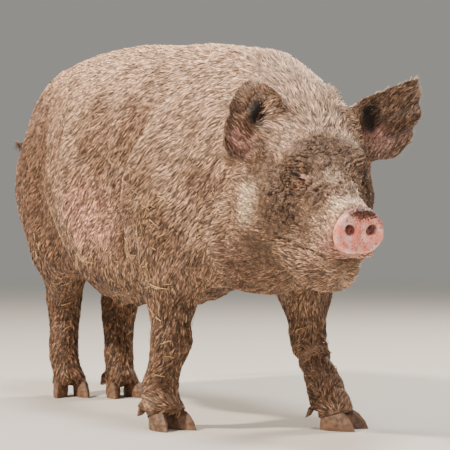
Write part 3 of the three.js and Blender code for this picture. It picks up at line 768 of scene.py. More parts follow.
# the markings are the same on skin and coat
# patches on the face: ahead, left and up of the middle between the eyes, reach and strength
facePatches = {
    "mud": (
        ([0.015, -0.105, -0.080], [0.105, 0.095, 0.140], 0.92),    # cheeks
        ([0.015, 0.105, -0.080], [0.105, 0.095, 0.140], 0.85),
        ([-0.045, 0.000, 0.040], [0.068, 0.165, 0.068], 0.88),     # brow
        ([-0.068, -0.128, -0.025], [0.080, 0.070, 0.070], 0.78),   # temples
        ([-0.068, 0.128, -0.025], [0.080, 0.070, 0.070], 0.70),
        ([-0.015, -0.075, 0.020], [0.080, 0.080, 0.075], 0.85),    # round the eyes
        ([-0.015, 0.075, 0.020], [0.080, 0.080, 0.075], 0.80),
        ([0.010, 0.000, 0.020], [0.060, 0.090, 0.060], 0.60),      # nose
        ([0.060, 0.000, -0.060], [0.170, 0.200, 0.190], 0.58),
        ([0.075, -0.055, -0.010], [0.070, 0.060, 0.060], 0.80),
        ([0.075, 0.055, -0.010], [0.070, 0.060, 0.060], 0.75),
        ([0.120, 0.010, -0.140], [0.110, 0.110, 0.065], 0.66),     # chin
        ([-0.030, -0.090, -0.230], [0.150, 0.120, 0.110], 0.88),   # jowl
        ([-0.030, 0.090, -0.230], [0.150, 0.120, 0.110], 0.6),
        ([-0.150, -0.060, -0.300], [0.130, 0.130, 0.110], 0.60),
        ([0.205, 0.000, 0.050], [0.035, 0.070, 0.030], 0.95),      # over the disc, and painted shade under it
        ([0.195, 0.000, -0.095], [0.045, 0.070, 0.028], 0.90),
    ),
    "pale": (
        ([-0.062, -0.150, -0.120], [0.056, 0.060, 0.112], 0.62),   # behind the cheeks
        ([-0.062, 0.150, -0.120], [0.062, 0.060, 0.100], 0.5),
        ([0.038, -0.008, 0.026], [0.050, 0.045, 0.045], 0.40),     # down the nose
        ([0.140, -0.015, 0.015], [0.055, 0.050, 0.045], 0.50),
        # a painted highlight along the nose's left edge
        ([0.080, 0.030, 0.012], [0.075, 0.009, 0.040], 0.60),
        ([0.150, 0.060, -0.120], [0.050, 0.040, 0.050], 0.5),      # lip
        ([-0.140, 0.000, 0.060], [0.080, 0.120, 0.060], 0.30),     # between the ears
    ),
}

# patches on the body, on both sides alike: place with the distance from the middle line, reach and amount
bodyPatches = {
    "mud": (
        ([0.270, 0.25, 0.490], [0.150, 0.160, 0.190], 0.62),       # elbow
        ([-0.520, 0.22, 0.420], [0.160, 0.150, 0.160], 0.50),      # thigh
        ([-0.150, 0.20, 0.330], [0.300, 0.200, 0.110], 0.60),      # belly
        ([0.05, 0.00, 0.350], [0.340, 0.150, 0.080], 0.85),
        ([-0.640, 0.16, 0.620], [0.170, 0.180, 0.260], 0.42),      # rump
    ),
    "light": (
        ([-0.300, 0.12, 0.870], [0.240, 0.150, 0.075], 0.35),      # loin
        ([0.120, 0.20, 0.780], [0.130, 0.190, 0.200], -0.20),      # painted shade behind the withers, and below it behind the shoulder
        ([-0.050, 0.25, 0.690], [0.170, 0.200, 0.220], -0.14),
        ([0.490, 0.20, 0.700], [0.085, 0.110, 0.085], 0.34),       # behind the ear
        ([-0.480, 0.22, 0.620], [0.110, 0.120, 0.160], -0.30),     # thigh
        ([0.420, 0.20, 0.560], [0.090, 0.120, 0.120], -0.22),      # neck
    ),
    "pink": (([-0.090, 0.27, 0.490], [0.230, 0.180, 0.210], 0.70),),
}


def bodyPatch(points, what, broken):
    # the patches of one sort, soft and broken at their edges
    folded = np.stack([points[:, 0], np.abs(points[:, 1] - middleLine), points[:, 2]], axis=1)
    total = np.zeros(len(points))
    for place, size, amount in bodyPatches[what]:
        total += amount * smooth(0.0, 1.0, near(folded, place, size) + broken * 0.35)
    return total


def facePatch(face, what, broken):
    # the strongest patch of one sort, flat with ragged edges
    most = np.zeros(len(face))
    for place, size, amount in facePatches[what]:
        most = np.maximum(most, amount * smooth(0.02, 0.75, near(face, place, size) + broken * 0.45))
    return most


markingShape = {
    "legMud": 0.28, "legMudDrift": 0.28, "bellyMud": 0.55, "earMud": 0.42,
    # lightness of the coat, and what each part adds or takes: the back's lift is painted light from above,
    # and the low body and the ears take painted shade
    "light": 0.40, "back": 0.26, "low": -0.12, "rump": -0.30, "forehead": 0.42, "brow": 0.10, "ears": -0.30,
    "drift": 0.20,
    # each fold has a painted highlight on its swell, painted shade behind it, and mud low down
    "foldHighlight": 0.38, "foldShade": -0.55, "foldPaleHighlight": 0.22, "foldMud": 0.45,
}


def markings(points):
    # four shares from 0 to 1: mud, with painted shade under the disc; pink skin; pale hair, with painted
    # highlights on the folds and along the nose; and how light the coat is, with painted light and shade in
    # it
    shape = markingShape
    x, _, z = points.T
    face = onFace(points)
    onHead = smooth(-0.15, -0.05, face[:, 0])
    body = 1 - onHead
    ears = earness(points)
    drift = 0.5 + 0.5 * waves(points, [0.23, 0.11], 31)
    broken = 0.22 * waves(points, [0.055, 0.026], 32) + 0.16 * waves(points, [0.014, 0.008], 34)
    mud = np.max([
        (1 - smooth(0.30, 0.44, z)) * (shape["legMud"] + shape["legMudDrift"] * drift),
        shape["bellyMud"] * body * (1 - smooth(0.28, 0.40, z)),
        body * np.clip(bodyPatch(points, "mud", broken), 0, 0.9),
        shape["earMud"] * ears * (0.7 + 0.3 * drift),
        facePatch(face, "mud", broken),
    ], axis=0)
    pink = body * np.clip(bodyPatch(points, "pink", broken), 0, 1)
    pink = np.maximum(pink, near(face, [0.185, 0.0, -0.045], [0.065, 0.13, 0.08]))
    for side in eyes:
        inEar = near(points, earPlace(side, *earShape["pink"][side]), [0.09, 0.055, 0.065])
        pink = np.maximum(pink, 1.1 * inEar)
    pale = facePatch(face, "pale", broken)
    # painted light from above along the back, and painted shade low down
    light = shape["light"] + shape["back"] * smooth(0.64, 0.90, z) * body
    light += shape["low"] * (1 - smooth(0.3, 0.55, z))
    light += shape["rump"] * (1 - smooth(-0.62, -0.30, x)) * (1 - smooth(0.78, 0.88, z))
    light += shape["forehead"] * near(face, [-0.105, 0.0, 0.055], [0.075, 0.13, 0.08])
    light += shape["drift"] * waves(points, [0.35, 0.16, 0.08], 33)
    light += body * bodyPatch(points, "light", broken)
    # the brow lighter, and the ears darkened as painted shade
    light += shape["brow"] * onHead * smooth(-0.06, 0.02, face[:, 2]) + shape["ears"] * ears
    for fold in bodyFolds:
        ahead, span = foldPlace(points, fold)
        # painted highlight on each fold's swell and painted shade behind it
        light += span * shape["foldHighlight"] * ridge(ahead - 0.024, 0.020)
        light += span * shape["foldShade"] * ridge(ahead + 0.020, 0.026)
        # and a pale painted highlight along the swell
        pale = np.maximum(pale, span * shape["foldPaleHighlight"] * ridge(ahead - 0.022, 0.012))
        low = 1 - smooth(0.55, 0.68, z)
        mud = np.maximum(mud, span * shape["foldMud"] * low * ridge(ahead + 0.010, 0.014))
    return np.clip(np.stack([mud, pink, pale, light], axis=1), 0, 1)


def places(points):
    # four shares: the bare disc, painted shade in the hollows of ears and nostrils, painted shade on the
    # lids' rims round the slit, and their pink corners
    away, aside, high = onDiscFace(points)
    onDisc = smooth(-0.013, -0.009, away) * (1 - smooth(1.05, 1.2, np.hypot(aside / 0.06, high / 0.056)))
    hollow, slitShade, corner = np.zeros((3, len(points)))
    for side, sign in bothSides:
        bowl = near(points, earPlace(side, *earShape["bowl"][side]), [0.080, 0.036, 0.056])
        aroundPit = [away, aside - sign * snoutShape["nostrilAside"], high - snoutShape["nostrilUp"]]
        pit = 1 - smooth(0.005, 0.0095, np.linalg.norm(aroundPit, axis=0))
        # painted shade: the ear bowls and the nostril pits are marked for a near-black colour
        hollow = np.max([hollow, smooth(0.05, 0.5, bowl), pit], axis=0)
        corner = np.maximum(corner, smooth(0.05, 0.4, innerCorner(points, side)))
        out, _, lidUp = eyeFrame(side)
        spot = points - eyes[side]
        # painted shade on the lids' rims round the slit
        onRim = 1 - smooth(0.0035, 0.0055, np.abs(spot @ lidUp - 0.0010))
        slitShade = np.maximum(slitShade, onRim * (np.linalg.norm(spot, axis=1) < 0.020) * (spot @ out > 0))
    return np.clip(np.stack([onDisc, hollow, slitShade * (1 - corner), corner], axis=1), 0, 1)


def paint(piece, name, shares):
    layer = piece.data.color_attributes.new(name, "FLOAT_COLOR", "POINT")
    layer.data.foreach_set("color", shares.astype(np.float32).ravel())


markLook = {
    # what the markings stand for, on skin and hair alike
    "coatLight": "#af8e73", "coatDark": "#6c4e3a", "mud": "#563d2b", "mudDry": "#86664b",
    "pink": "#c28e7b", "pale": "#d8bf9f",
    # noise scales in cells to the metre: blotches of about 70 mm and flecks of about 10 mm
    "blotches": 14.0, "flecks": 95.0,
}


def markedColour(add):
    # the colour at a place from its markings, broken up at two scales, with its share of mud
    marks = add("ShaderNodeAttribute", {}, attribute_name="markings")
    shares = add("ShaderNodeSeparateColor", {"Color": (marks, "Color")})
    where = add("ShaderNodeTexCoord", {}), "Object"
    noise = {"Vector": where, "Roughness": 0.6}
    blotches = add("ShaderNodeTexNoise", {**noise, "Scale": markLook["blotches"], "Detail": 5.0}), "Fac"
    flecks = add("ShaderNodeTexNoise", {**noise, "Scale": markLook["flecks"], "Detail": 3.0}), "Fac"
    mud = shares, "Red"
    light = summed(add, (marks, "Alpha"), (blotches, 0.35), (flecks, 0.25))
    colour = layered(add, markLook["coatDark"], markLook["coatLight"], light, 0.3, 1.1)
    blush = summed(add, (shares, "Green"), (blotches, 0.25))
    colour = layered(add, colour, markLook["pink"], blush, 0.15, 1.25)
    dried = layered(add, markLook["mud"], markLook["mudDry"], flecks, 0.42, 0.66)
    grime = summed(add, mud, (blotches, 0.5), (flecks, 0.3))
    colour = layered(add, colour, dried, grime, 0.50, 1.20)
    bleached = summed(add, (shares, "Blue"), (flecks, 0.25))
    return layered(add, colour, markLook["pale"], bleached, 0.25, 1.1), mud, where


hideLook = {
    "discPink": "#ff907b", "discPale": "#ffd3c6", "rust": "#7a3a20",
    # a dark colour for painted shade in the face's cracks and folds, also laid as soil on the disc
    # a dark painted shade for the lids' rims round the eye slits
    # near-black painted shade for the ear bowls and the nostril pits
    "hollow": "#160c07", "slitShade": "#2c1912", "lidPink": "#e3ab9c", "crack": "#2e1c12",
    "roughness": 0.72, "discRoughness": 0.42,
    # noise scales in cells to the metre
    "discBlotches": 45.0, "discSpecks": 240.0, "mudPlates": 85.0, "plateBend": 30.0, "pores": 420.0,
}


def hideMaterial():
    # living hide: thin dusty skin under dried mud, matt and a little soft to light, and a bare moist disc
    material, add = newMaterial("pig hide")
    colour, mud, where = markedColour(add)
    spots = add("ShaderNodeAttribute", {}, attribute_name="places")
    parts = add("ShaderNodeSeparateColor", {"Color": (spots, "Color")})
    # the disc: blotched pink, with rusty specks of soil
    blotches = add("ShaderNodeTexNoise", {"Vector": where, "Scale": hideLook["discBlotches"], "Detail": 4.0})
    disc = layered(add, hideLook["discPink"], hideLook["discPale"], (blotches, "Fac"), 0.35, 0.7)
    specks = add("ShaderNodeTexNoise", {"Vector": where, "Scale": hideLook["discSpecks"], "Detail": 3.0})
    disc = layered(add, disc, hideLook["rust"], summed(add, (specks, "Fac"), (mud, 0.30)), 0.54, 0.72)
    # painted shade in the face's cracks and folds, and dark soil on the disc
    crack = add("ShaderNodeAttribute", {}, attribute_name="crack")
    # laid over the marked colour: the disc, painted shade in the ear bowls and nostrils, painted shade round
    # the eye slits, the pink lid corners, and painted shade in the face's cracks and folds with dark soil on
    # the disc
    for above, amount in (
        (disc, (parts, "Red")), (hideLook["hollow"], (parts, "Green")), (hideLook["slitShade"], (parts, "Blue")),
        (hideLook["lidPink"], (spots, "Alpha")), (hideLook["crack"], (crack, "Fac")),
    ):
        colour = layered(add, colour, above, amount)
    # cracked dry mud, in plates of about 12 mm, over pores drawn coarse, at about 2 mm
    bend = add("ShaderNodeTexNoise", {"Vector": where, "Scale": hideLook["plateBend"], "Detail": 2.0})
    bent = {0: (bend, "Color"), 1: (0.02, 0.02, 0.02), 2: where}
    bent = add("ShaderNodeVectorMath", bent, operation="MULTIPLY_ADD")
    plate = {"Vector": (bent, "Vector"), "Scale": hideLook["mudPlates"]}
    plate = add("ShaderNodeTexVoronoi", plate, feature="DISTANCE_TO_EDGE")
    inner = {"Value": (plate, "Distance"), "From Min": 0.0, "From Max": 0.12}
    inner = add("ShaderNodeMapRange", inner, interpolation_type="SMOOTHSTEP")
    caked = add("ShaderNodeMath", {0: (inner, "Result"), 1: mud}, operation="MULTIPLY")
    pores = add("ShaderNodeTexNoise", {"Vector": where, "Scale": hideLook["pores"], "Detail": 3.0})
    height = summed(add, (caked, "Value"), ((pores, "Fac"), 0.35))
    relief = add("ShaderNodeBump", {"Height": height, "Strength": 0.9, "Distance": 0.0026})
    rough = {"Value": (parts, "Red"), "To Min": hideLook["roughness"], "To Max": hideLook["discRoughness"]}
    surface = add("ShaderNodeBsdfPrincipled", {
        "Base Color": colour, "Roughness": (add("ShaderNodeMapRange", rough), "Result"),
        "Subsurface Weight": 0.06, "Subsurface Scale": 0.01, "Subsurface Radius": (1.0, 0.35, 0.2),
        "Normal": (relief, "Normal"),
    })
    add("ShaderNodeOutputMaterial", {"Surface": (surface, "BSDF")})
    return material


bristleLook = {
    "darkest": -2.7, "lightest": 1.74,    # each tuft's tone, in powers of two
    "root": 0.60, "tip": 1.22,            # how much of its tone shows at the root, darkened as painted shade among the hairs, and at the tip
    "roughness": 0.55, "specular": 0.3, "sheen": 0.12, "sheenRoughness": 0.4,
}


def bristleMaterial():
    # dry dusty bristle, which shines little, is paler and worn at its tip, and is painted darker towards its
    # root as shade among the hairs
    material, add = newMaterial("pig bristle")
    colour, _, _ = markedColour(add)
    tuft = add("ShaderNodeAttribute", {}, attribute_name="tuft")
    parts = add("ShaderNodeSeparateColor", {"Color": (tuft, "Color")})
    ranges = {
        "stops": ("Red", bristleLook["darkest"], bristleLook["lightest"]),
        "towardsTip": ("Green", bristleLook["root"], bristleLook["tip"]),
        "inHollowShade": ("Red", 0.98, 0.55),
    }
    value = {
        name: (add("ShaderNodeMapRange", {"Value": (parts, part), "To Min": low, "To Max": high}), "Result")
        for name, (part, low, high) in ranges.items()
    }
    tone = add("ShaderNodeMath", {0: 2.0, 1: value["stops"]}, operation="POWER")
    # painted shade darkens each tuft towards its root
    tone = add("ShaderNodeMath", {0: (tone, "Value"), 1: value["towardsTip"]}, operation="MULTIPLY")
    toned = add("ShaderNodeVectorMath", {0: colour, "Scale": (tone, "Value")}, operation="SCALE")
    # painted rim light: the tufts on the ears' rims are paled
    colour = layered(add, (toned, "Vector"), markLook["pale"], (parts, "Blue"))
    # painted shade: tufts in the ear bowls are darkened towards near black, the darker tufts most
    spots = add("ShaderNodeAttribute", {}, attribute_name="places")
    hollow = add("ShaderNodeSeparateColor", {"Color": (spots, "Color")})
    shade = add("ShaderNodeMath", {0: (hollow, "Green"), 1: value["inHollowShade"]}, operation="MULTIPLY")
    surface = add("ShaderNodeBsdfPrincipled", {
        "Base Color": layered(add, colour, hideLook["hollow"], (shade, "Value")),
        "Roughness": bristleLook["roughness"], "Specular IOR Level": bristleLook["specular"],
        "Sheen Weight": bristleLook["sheen"], "Sheen Roughness": bristleLook["sheenRoughness"],
    })
    add("ShaderNodeOutputMaterial", {"Surface": (surface, "BSDF")})
    return material


hornLook = {
    "worn": "#8a684f", "dark": "#5f4531", "roughness": 0.62, "IOR": 1.54,
    "grain": 60.0,     # cells to the metre, about 17 mm
    "rings": 26.0,     # growth rings, drawn coarse
    "soilRise": 8.0,   # how fast soil takes over with height
}


def hornMaterial():
    # claw horn: dull tan keratin with growth rings, worn pale below and dark with soil above
    material, add = newMaterial("claw horn")
    where = add("ShaderNodeTexCoord", {}), "Object"
    grain = {"Vector": where, "Scale": hornLook["grain"], "Detail": 5.0, "Roughness": 0.65}
    grain = add("ShaderNodeTexNoise", grain), "Fac"
    rings = {"Vector": where, "Scale": hornLook["rings"], "Distortion": 3.0, "Detail": 2.0}
    rings = add("ShaderNodeTexWave", rings, bands_direction="Z"), "Fac"
    place = add("ShaderNodeNewGeometry", {}), "Position"
    height = add("ShaderNodeSeparateXYZ", {"Vector": place}), "Z"
    colour = layered(add, hornLook["worn"], hornLook["dark"], grain, 0.35, 0.65)
    soilAndShade = summed(add, grain, (height, hornLook["soilRise"]))
    colour = layered(add, colour, markLook["mud"], soilAndShade, 0.62, 0.98)
    relief = {"Height": summed(add, grain, (rings, 0.5)), "Strength": 0.5, "Distance": 0.0015}
    surface = add("ShaderNodeBsdfPrincipled", {
        "Base Color": colour, "Roughness": hornLook["roughness"], "IOR": hornLook["IOR"],
        "Normal": (add("ShaderNodeBump", relief), "Normal"),
    })
    add("ShaderNodeOutputMaterial", {"Surface": (surface, "BSDF")})
    return material


plainLook = {
    # two colours, the noise scale in cells to the metre that mixes them, and the shader's other values
    "wet eye": {
        # a wet cornea over a dark brown iris, which is nearly all that shows between the lids
        "first": "#3a2416", "second": "#140c08", "scale": 300.0,
        "surface": {"Roughness": 0.22, "IOR": 1.38, "Coat Weight": 0.35, "Coat Roughness": 0.08},
    },
    "dry straw": {
        # barley straw, cut, dusty yellow and faintly glossy
        "first": "#d3b27a", "second": "#9a7a4c", "scale": 40.0, "surface": {"Roughness": 0.5},
    },
}


def plainMaterial(name):
    # two colours of one stuff, softly mixed
    look = plainLook[name]
    material, add = newMaterial(name)
    where = add("ShaderNodeTexCoord", {}), "Object"
    noise = add("ShaderNodeTexNoise", {"Vector": where, "Scale": look["scale"], "Detail": 2.0}), "Fac"
    colour = layered(add, look["first"], look["second"], noise, 0.35, 0.65)
    surface = add("ShaderNodeBsdfPrincipled", {"Base Color": colour, **look["surface"]})
    add("ShaderNodeOutputMaterial", {"Surface": (surface, "BSDF")})
    return material


def dress(prefix, material):
    for name, node in frame["nodes"].items():
        if name.startswith(prefix):
            for slot in node.material_slots:
                slot.material = material


horn = hornMaterial()
dress("hoof_", horn)
dress("dewclaw_", horn)
dress("eye_", plainMaterial("wet eye"))
hide.data.materials.append(hideMaterial())
paint(hide, "markings", markings(pointsOf(hide)))
paint(hide, "places", places(pointsOf(hide)))
# painted shade in the face's cracks and folds, and dark soil on the disc
cracks = hide.data.attributes.new("crack", "FLOAT", "POINT")
cracks.data.foreach_set("value", soilAndShade.astype(np.float32))
say("markings")


def tufts(spacing, length, width, lift):
    return {"spacing": spacing, "length": length, "width": width, "lift": lift}


coatKinds = {
    # metres between roots, and each tuft's length, width and rise
    "trunk": tufts(0.0033, 0.0165, 0.0025, 0.0023),
    "mane": tufts(0.0034, 0.0200, 0.0018, 0.0055),
    "head": tufts(0.0027, 0.0100, 0.0019, 0.0018),
    "beard": tufts(0.0031, 0.0140, 0.0018, 0.0045),
    "neck": tufts(0.0034, 0.0165, 0.0026, 0.0022),
    "ears": tufts(0.0027, 0.0120, 0.0018, 0.0020),
    "rim": tufts(0.0018, 0.0120, 0.0011, 0.0060),
    "legs": tufts(0.0033, 0.0140, 0.0025, 0.0018),
    "foot": tufts(0.0026, 0.0200, 0.0024, 0.0020),
    "tail": tufts(0.0028, 0.0260, 0.0016, 0.0050),
}
tuftShape = {
    "rootDepth": 0.0006,      # the root lies this deep in the skin
    "middleWidth": 0.84,      # share of the root's width
    "middleRise": 0.75, "tipRise": 0.95,    # shares of the lift
    "stray": 0.09, "roll": 0.35,            # radians
    "standing": ("rim", "mane", "tail", "beard"),    # kinds that don't lie against the skin
    "patch": 0.003,           # size of each tuft's patch on the unwrap
}
streakShape = {"cell": 0.0027, "step": 0.0032, "values": 8192}
coatMuch = 1.0


def cakedHair(mud, kinds):
    # how much of the hair of the face lies under dried mud
    return smooth(0.35, 0.75, mud) * (kinds == "head")


def lieOfCoat(points, normals):
    # the way the hair points, along the skin: back and down, down the legs, and away from the nose
    x, _, z = points.T
    face = onFace(points)
    steep = 0.18 + 0.55 * np.abs(normals[:, 1])
    way = np.stack([-np.ones(len(x)), np.zeros(len(x)), -steep], axis=1)
    legs = (1 - smooth(0.34, 0.50, z))[:, None]
    way = way * (1 - legs) + legs * np.array([-0.35, 0, -1.0])
    onHead = smooth(-0.20, -0.08, face[:, 0])[:, None]
    fromNose = -faceAhead + np.sign(face[:, 1])[:, None] * 0.45 * faceLeft
    fromNose = fromNose - 0.35 * smooth(0.0, -0.12, face[:, 2])[:, None] * faceUp
    way = way * (1 - onHead) + onHead * unit(fromNose)
    for side, sign in bothSides:
        own = (earness(points) * (face[:, 1] * sign > 0))[:, None]
        toTip = unit(earPlace(side, 0.95, 0.9) - earPlace(side, 0.25, 0.35))
        way = way * (1 - own) + own * toTip
    tail = (1 - smooth(-0.845, -0.825, x))[:, None]
    way = way * (1 - tail) + tail * np.array([-0.2, -0.25, -1.0])
    way = way + 0.28 * np.stack([waves(points, [0.09, 0.04], seed) for seed in (41, 42, 43)], axis=1)
    way = way - normals * np.sum(way * normals, axis=1, keepdims=True)
    return unit(way)


def kindOf(points, normals):
    # which kind of coat grows at each place
    x, y, z = points.T
    ahead, _, up = onFace(points).T
    kind = np.full(len(points), "trunk", dtype=object)
    kind[(z < 0.36) & (ahead < -0.1)] = "legs"
    belly = (z > 0.25) & (np.abs(x + 0.17) < 0.36)
    kind[belly & (kind == "legs")] = "trunk"
    kind[(ahead > -0.24) & (z > 0.36)] = "neck"
    crest = (np.abs(y - middleLine) < 0.06) & (normals[:, 2] > 0.4) & (z > 0.7)
    kind[crest & (x > 0.05) & (ahead < -0.06)] = "mane"
    kind[(ahead > -0.12) & (kind != "mane")] = "head"
    kind[(ahead > 0.02) & (up < -0.135)] = "beard"
    onEar = earness(points) > 0.5
    kind[onEar] = "ears"
    for side, sign in bothSides:
        low, high = boxOf(f"ear_{side}")
        _, outward, upward = ((points - low) / (high - low)).T
        outward = outward if side == "left" else 1 - outward
        edge = onEar & (np.abs(normals[:, 0]) < 0.50) & ((outward > 0.6) | (upward > 0.75)) & (upward > 0.1)
        kind[edge & (y * sign > 0)] = "rim"
    kind[(z < 0.085) & (ahead < 0.1)] = "foot"
    kind[x < -0.835] = "tail"
    return kind


def bare(points):
    # places with no hair: the disc, and the eyes with their wet rims and pink corners
    bareness = (onDiscFace(points)[0] > -0.014) & (np.linalg.norm(points - disc, axis=1) < 0.085)
    for side in eyes:
        out, slit, lidUp = eyeFrame(side)
        spot = points - eyes[side]
        onSlit = (np.abs(spot @ lidUp - 0.001) < 0.0045) & (np.abs(spot @ slit) < 0.019) & (spot @ out > 0)
        bareness |= onSlit & (np.linalg.norm(spot, axis=1) < 0.026)
        bareness |= innerCorner(points, side) > 0.08
    return bareness


def sampled(piece):
    # roots over the skin: points, normals and kinds, each kind at its own spacing
    mesh = piece.data
    mesh.calc_loop_triangles()
    corners = values(mesh.loop_triangles, "vertices", np.int32)
    points, normals = pointsOf(piece), normalsOf(piece)
    a, b, c = (points[corners[:, i]] for i in range(3))
    area = np.linalg.norm(np.cross(b - a, c - a), axis=1) / 2
    centre = (a + b + c) / 3
    kind = kindOf(centre, unit(np.cross(b - a, c - a)))
    spacing = np.array([coatKinds[name]["spacing"] for name in kind])
    caked = cakedHair(markings(centre)[:, 0], kind)
    split = values(mesh.attributes["crack"].data, "value", width=1)[:, 0]
    split = split[corners].mean(axis=1) * (np.linalg.norm(centre - disc, axis=1) > 0.09)
    # few hairs come through caked mud, and none through its cracks
    grown = ~bare(centre) * (1 - 0.84 * caked) * np.clip(1 - 1.3 * split, 0, 1)
    many = rng.poisson(area / spacing ** 2 * coatMuch * grown)
    chosen = np.repeat(np.arange(len(area)), many)
    u, v = rng.random(len(chosen)), rng.random(len(chosen))
    flip = u + v > 1
    u[flip], v[flip] = 1 - u[flip], 1 - v[flip]
    weights = np.stack([1 - u - v, u, v], axis=1)
    at = np.einsum("nk,nkj->nj", weights, points[corners[chosen]])
    normal = unit(np.einsum("nk,nkj->nj", weights, normals[corners[chosen]]))
    return at, normal, kind[chosen]


def streaks(at, normal):
    # a value for each tuft, alike along the lie of the coat and different across it, about -1 to 1
    way = lieOfCoat(at, normal)
    grain = rng.normal(0, 1, streakShape["values"])
    value = np.zeros(len(at))
    for n in range(-2, 3):
        cell = np.floor((at + way * n * streakShape["step"]) / streakShape["cell"]).astype(np.int64)
        value += grain[(cell @ np.array([7349, 3121, 5393])) % streakShape["values"]]
    return np.tanh(value / value.std())


def laidOn(tree, points, above):
    # the points moved onto the skin and then raised above it
    placed = np.empty_like(points)
    for i, spot in enumerate(points):
        place, facing, _, _ = tree.find_nearest(spot)
        placed[i] = place + facing * above[i]
    return placed


def tuftMesh(name, at, normal, kinds, around, streak, tree):
    # flat tapered blades of three faces, each lying back along the skin and rising to its tip
    n = len(at)
    shape = tuftShape
    sizes = {key: np.array([coatKinds[kind][key] for kind in kinds]) for key in ("length", "width", "lift")}
    way = lieOfCoat(at, normal)
    across = np.cross(normal, way)
    turn = (rng.normal(0, shape["stray"], n) + 0.08 * streak)[:, None]
    way = unit(way * np.cos(turn) + across * np.sin(turn))
    across = np.cross(normal, way)
    roll = rng.normal(0, shape["roll"], n)[:, None]
    across = unit(across * np.cos(roll) + normal * np.sin(roll))
    length = (sizes["length"] * rng.uniform(0.65, 1.25, n))[:, None]
    width = (sizes["width"] * rng.uniform(0.7, 1.3, n))[:, None]
    lift = (sizes["lift"] * rng.uniform(0.5, 1.0, n) * (0.90 + 0.60 * streak))[:, None]
    marks = markings(at)
    length *= (1 - 0.45 * cakedHair(marks[:, 0], kinds))[:, None]
    length *= np.clip((at[:, 2:] - 0.018) / 0.03, 0.3, 1)    # shorter close to the floor
    root = at - normal * shape["rootDepth"]
    middle = at + way * length * 0.5 + normal * lift * shape["middleRise"]
    end = at + way * length + normal * lift
    flat = ~np.isin(kinds, shape["standing"])
    middle[flat] = laidOn(tree, middle[flat], lift[flat, 0] * shape["middleRise"])
    end[flat] = laidOn(tree, end[flat], lift[flat, 0] * shape["tipRise"])
    half = across * width / 2
    middleHalf = half * shape["middleWidth"]
    vertices = np.stack([root - half, root + half, middle - middleHalf, middle + middleHalf, end], axis=1)
    start = (np.arange(n) * 5)[:, None]
    faces = np.concatenate([start + [0, 1, 3], start + [0, 3, 2], start + [2, 3, 4]], axis=1)
    mesh = bpy.data.meshes.new(name)
    mesh.vertices.add(n * 5)
    mesh.vertices.foreach_set("co", vertices.astype(np.float32).ravel())
    mesh.loops.add(faces.size)
    mesh.loops.foreach_set("vertex_index", faces.astype(np.int32).ravel())
    mesh.polygons.add(n * 3)
    mesh.polygons.foreach_set("loop_start", np.arange(0, faces.size, 3, dtype=np.int32))
    mesh.polygons.foreach_set("use_smooth", np.ones(n * 3, dtype=bool))
    mesh.update(calc_edges=True)
    piece = added(name, mesh)
    paint(piece, "markings", np.repeat(marks, 5, axis=0))
    paint(piece, "places", np.repeat(places(at), 5, axis=0))
    # for the shader: the tuft's tone, how far along it a place is, and how pale it is, which on the ears'
    # rims is painted rim light
    tuft = np.ones((n, 5, 4))
    # the tone varies at random along the streaks, and is darkest where the tufts lie lowest, as painted shade
    # between clumps
    tuft[:, :, 0] = np.clip(0.5 + 0.38 * streak + rng.normal(0, 0.13, n), 0, 1)[:, None]
    tuft[:, :, 1] = [0, 0, 0.6, 0.6, 1]
    # painted rim light on the ears' rims
    tuft[:, :, 2] = np.where(kinds == "rim", rng.uniform(0.2, 0.9, n), 0)[:, None]
    paint(piece, "tuft", tuft.reshape(-1, 4))
    # each tuft is a small patch at its root's place on the unwrapped skin
    corners = np.array([[0, 0], [1, 0], [0, 0.5], [1, 0.5], [0.5, 1]]) * shape["patch"]
    spots = (around[:, None, :] + corners[None]).reshape(-1, 2)
    layer = mesh.uv_layers.new(name="OFBake")
    layer.data.foreach_set("uv", spots[faces.ravel()].astype(np.float32).ravel())
    return piece


def unwrapped(at, along, centre, out, up):
    # along the part, and the angle round its own axis, as a place in the unit square
    length = at @ along
    length = (length - length.min()) / max(np.ptp(length), 1e-6)
    angle = np.arctan2((at - centre) @ out, (at - centre) @ up) / (2 * math.pi) + 0.5
    return 0.005 + np.stack([length, angle], axis=1) * 0.985


def coatPieces(at, kind):
    # the coat's pieces by name: which tufts each has
    x, y, _ = at.T
    front, left = x > -0.15, y > 0
    trunk, ear, leg = kind == "trunk", np.isin(kind, ("ears", "rim")), np.isin(kind, ("legs", "foot"))
    head, onLeft = np.isin(kind, ("head", "beard")), onFace(at)[:, 1] > 0
    return {
        "coat_head_left": head & onLeft,
        "coat_head_right": head & ~onLeft,
        "coat_neck": np.isin(kind, ("neck", "mane")),
        "coat_ear_left": ear & left,
        "coat_ear_right": ear & ~left,
        "coat_shoulder_left": trunk & front & left,
        "coat_shoulder_right": trunk & front & ~left,
        "coat_flank_left": trunk & ~front & left,
        "coat_flank_right": trunk & ~front & ~left,
        "coat_forelegs": leg & (x > 0),
        "coat_hindlegs": leg & (x <= 0),
        "coat_tail": kind == "tail",
    }


def makeCoat(skin):
    at, normal, kind = sampled(skin)
    tree = treeOf(skin, *[piece for piece in bpy.data.objects if piece.name.startswith("hoof")])
    streak = streaks(at, normal)
    material = bristleMaterial()
    ahead, across, upright = np.eye(3)
    for name, chosen in coatPieces(at, kind).items():
        spots = at[chosen]
        if "leg" in name:
            around = unwrapped(spots, upright, spots.mean(axis=0), across, ahead)
        elif "head" in name or "ear" in name:
            around = unwrapped(spots, faceAhead, spots.mean(axis=0), faceLeft, faceUp)
        else:
            around = unwrapped(spots, ahead, np.array([0, 0, 0.6]), across, upright)
        piece = tuftMesh(name, spots, normal[chosen], kind[chosen], around, streak[chosen], tree)
        piece.data.materials.append(material)
        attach(piece, "root")
        say(f"{name} {len(spots) * 3}")


makeCoat(hide)
say("coat")

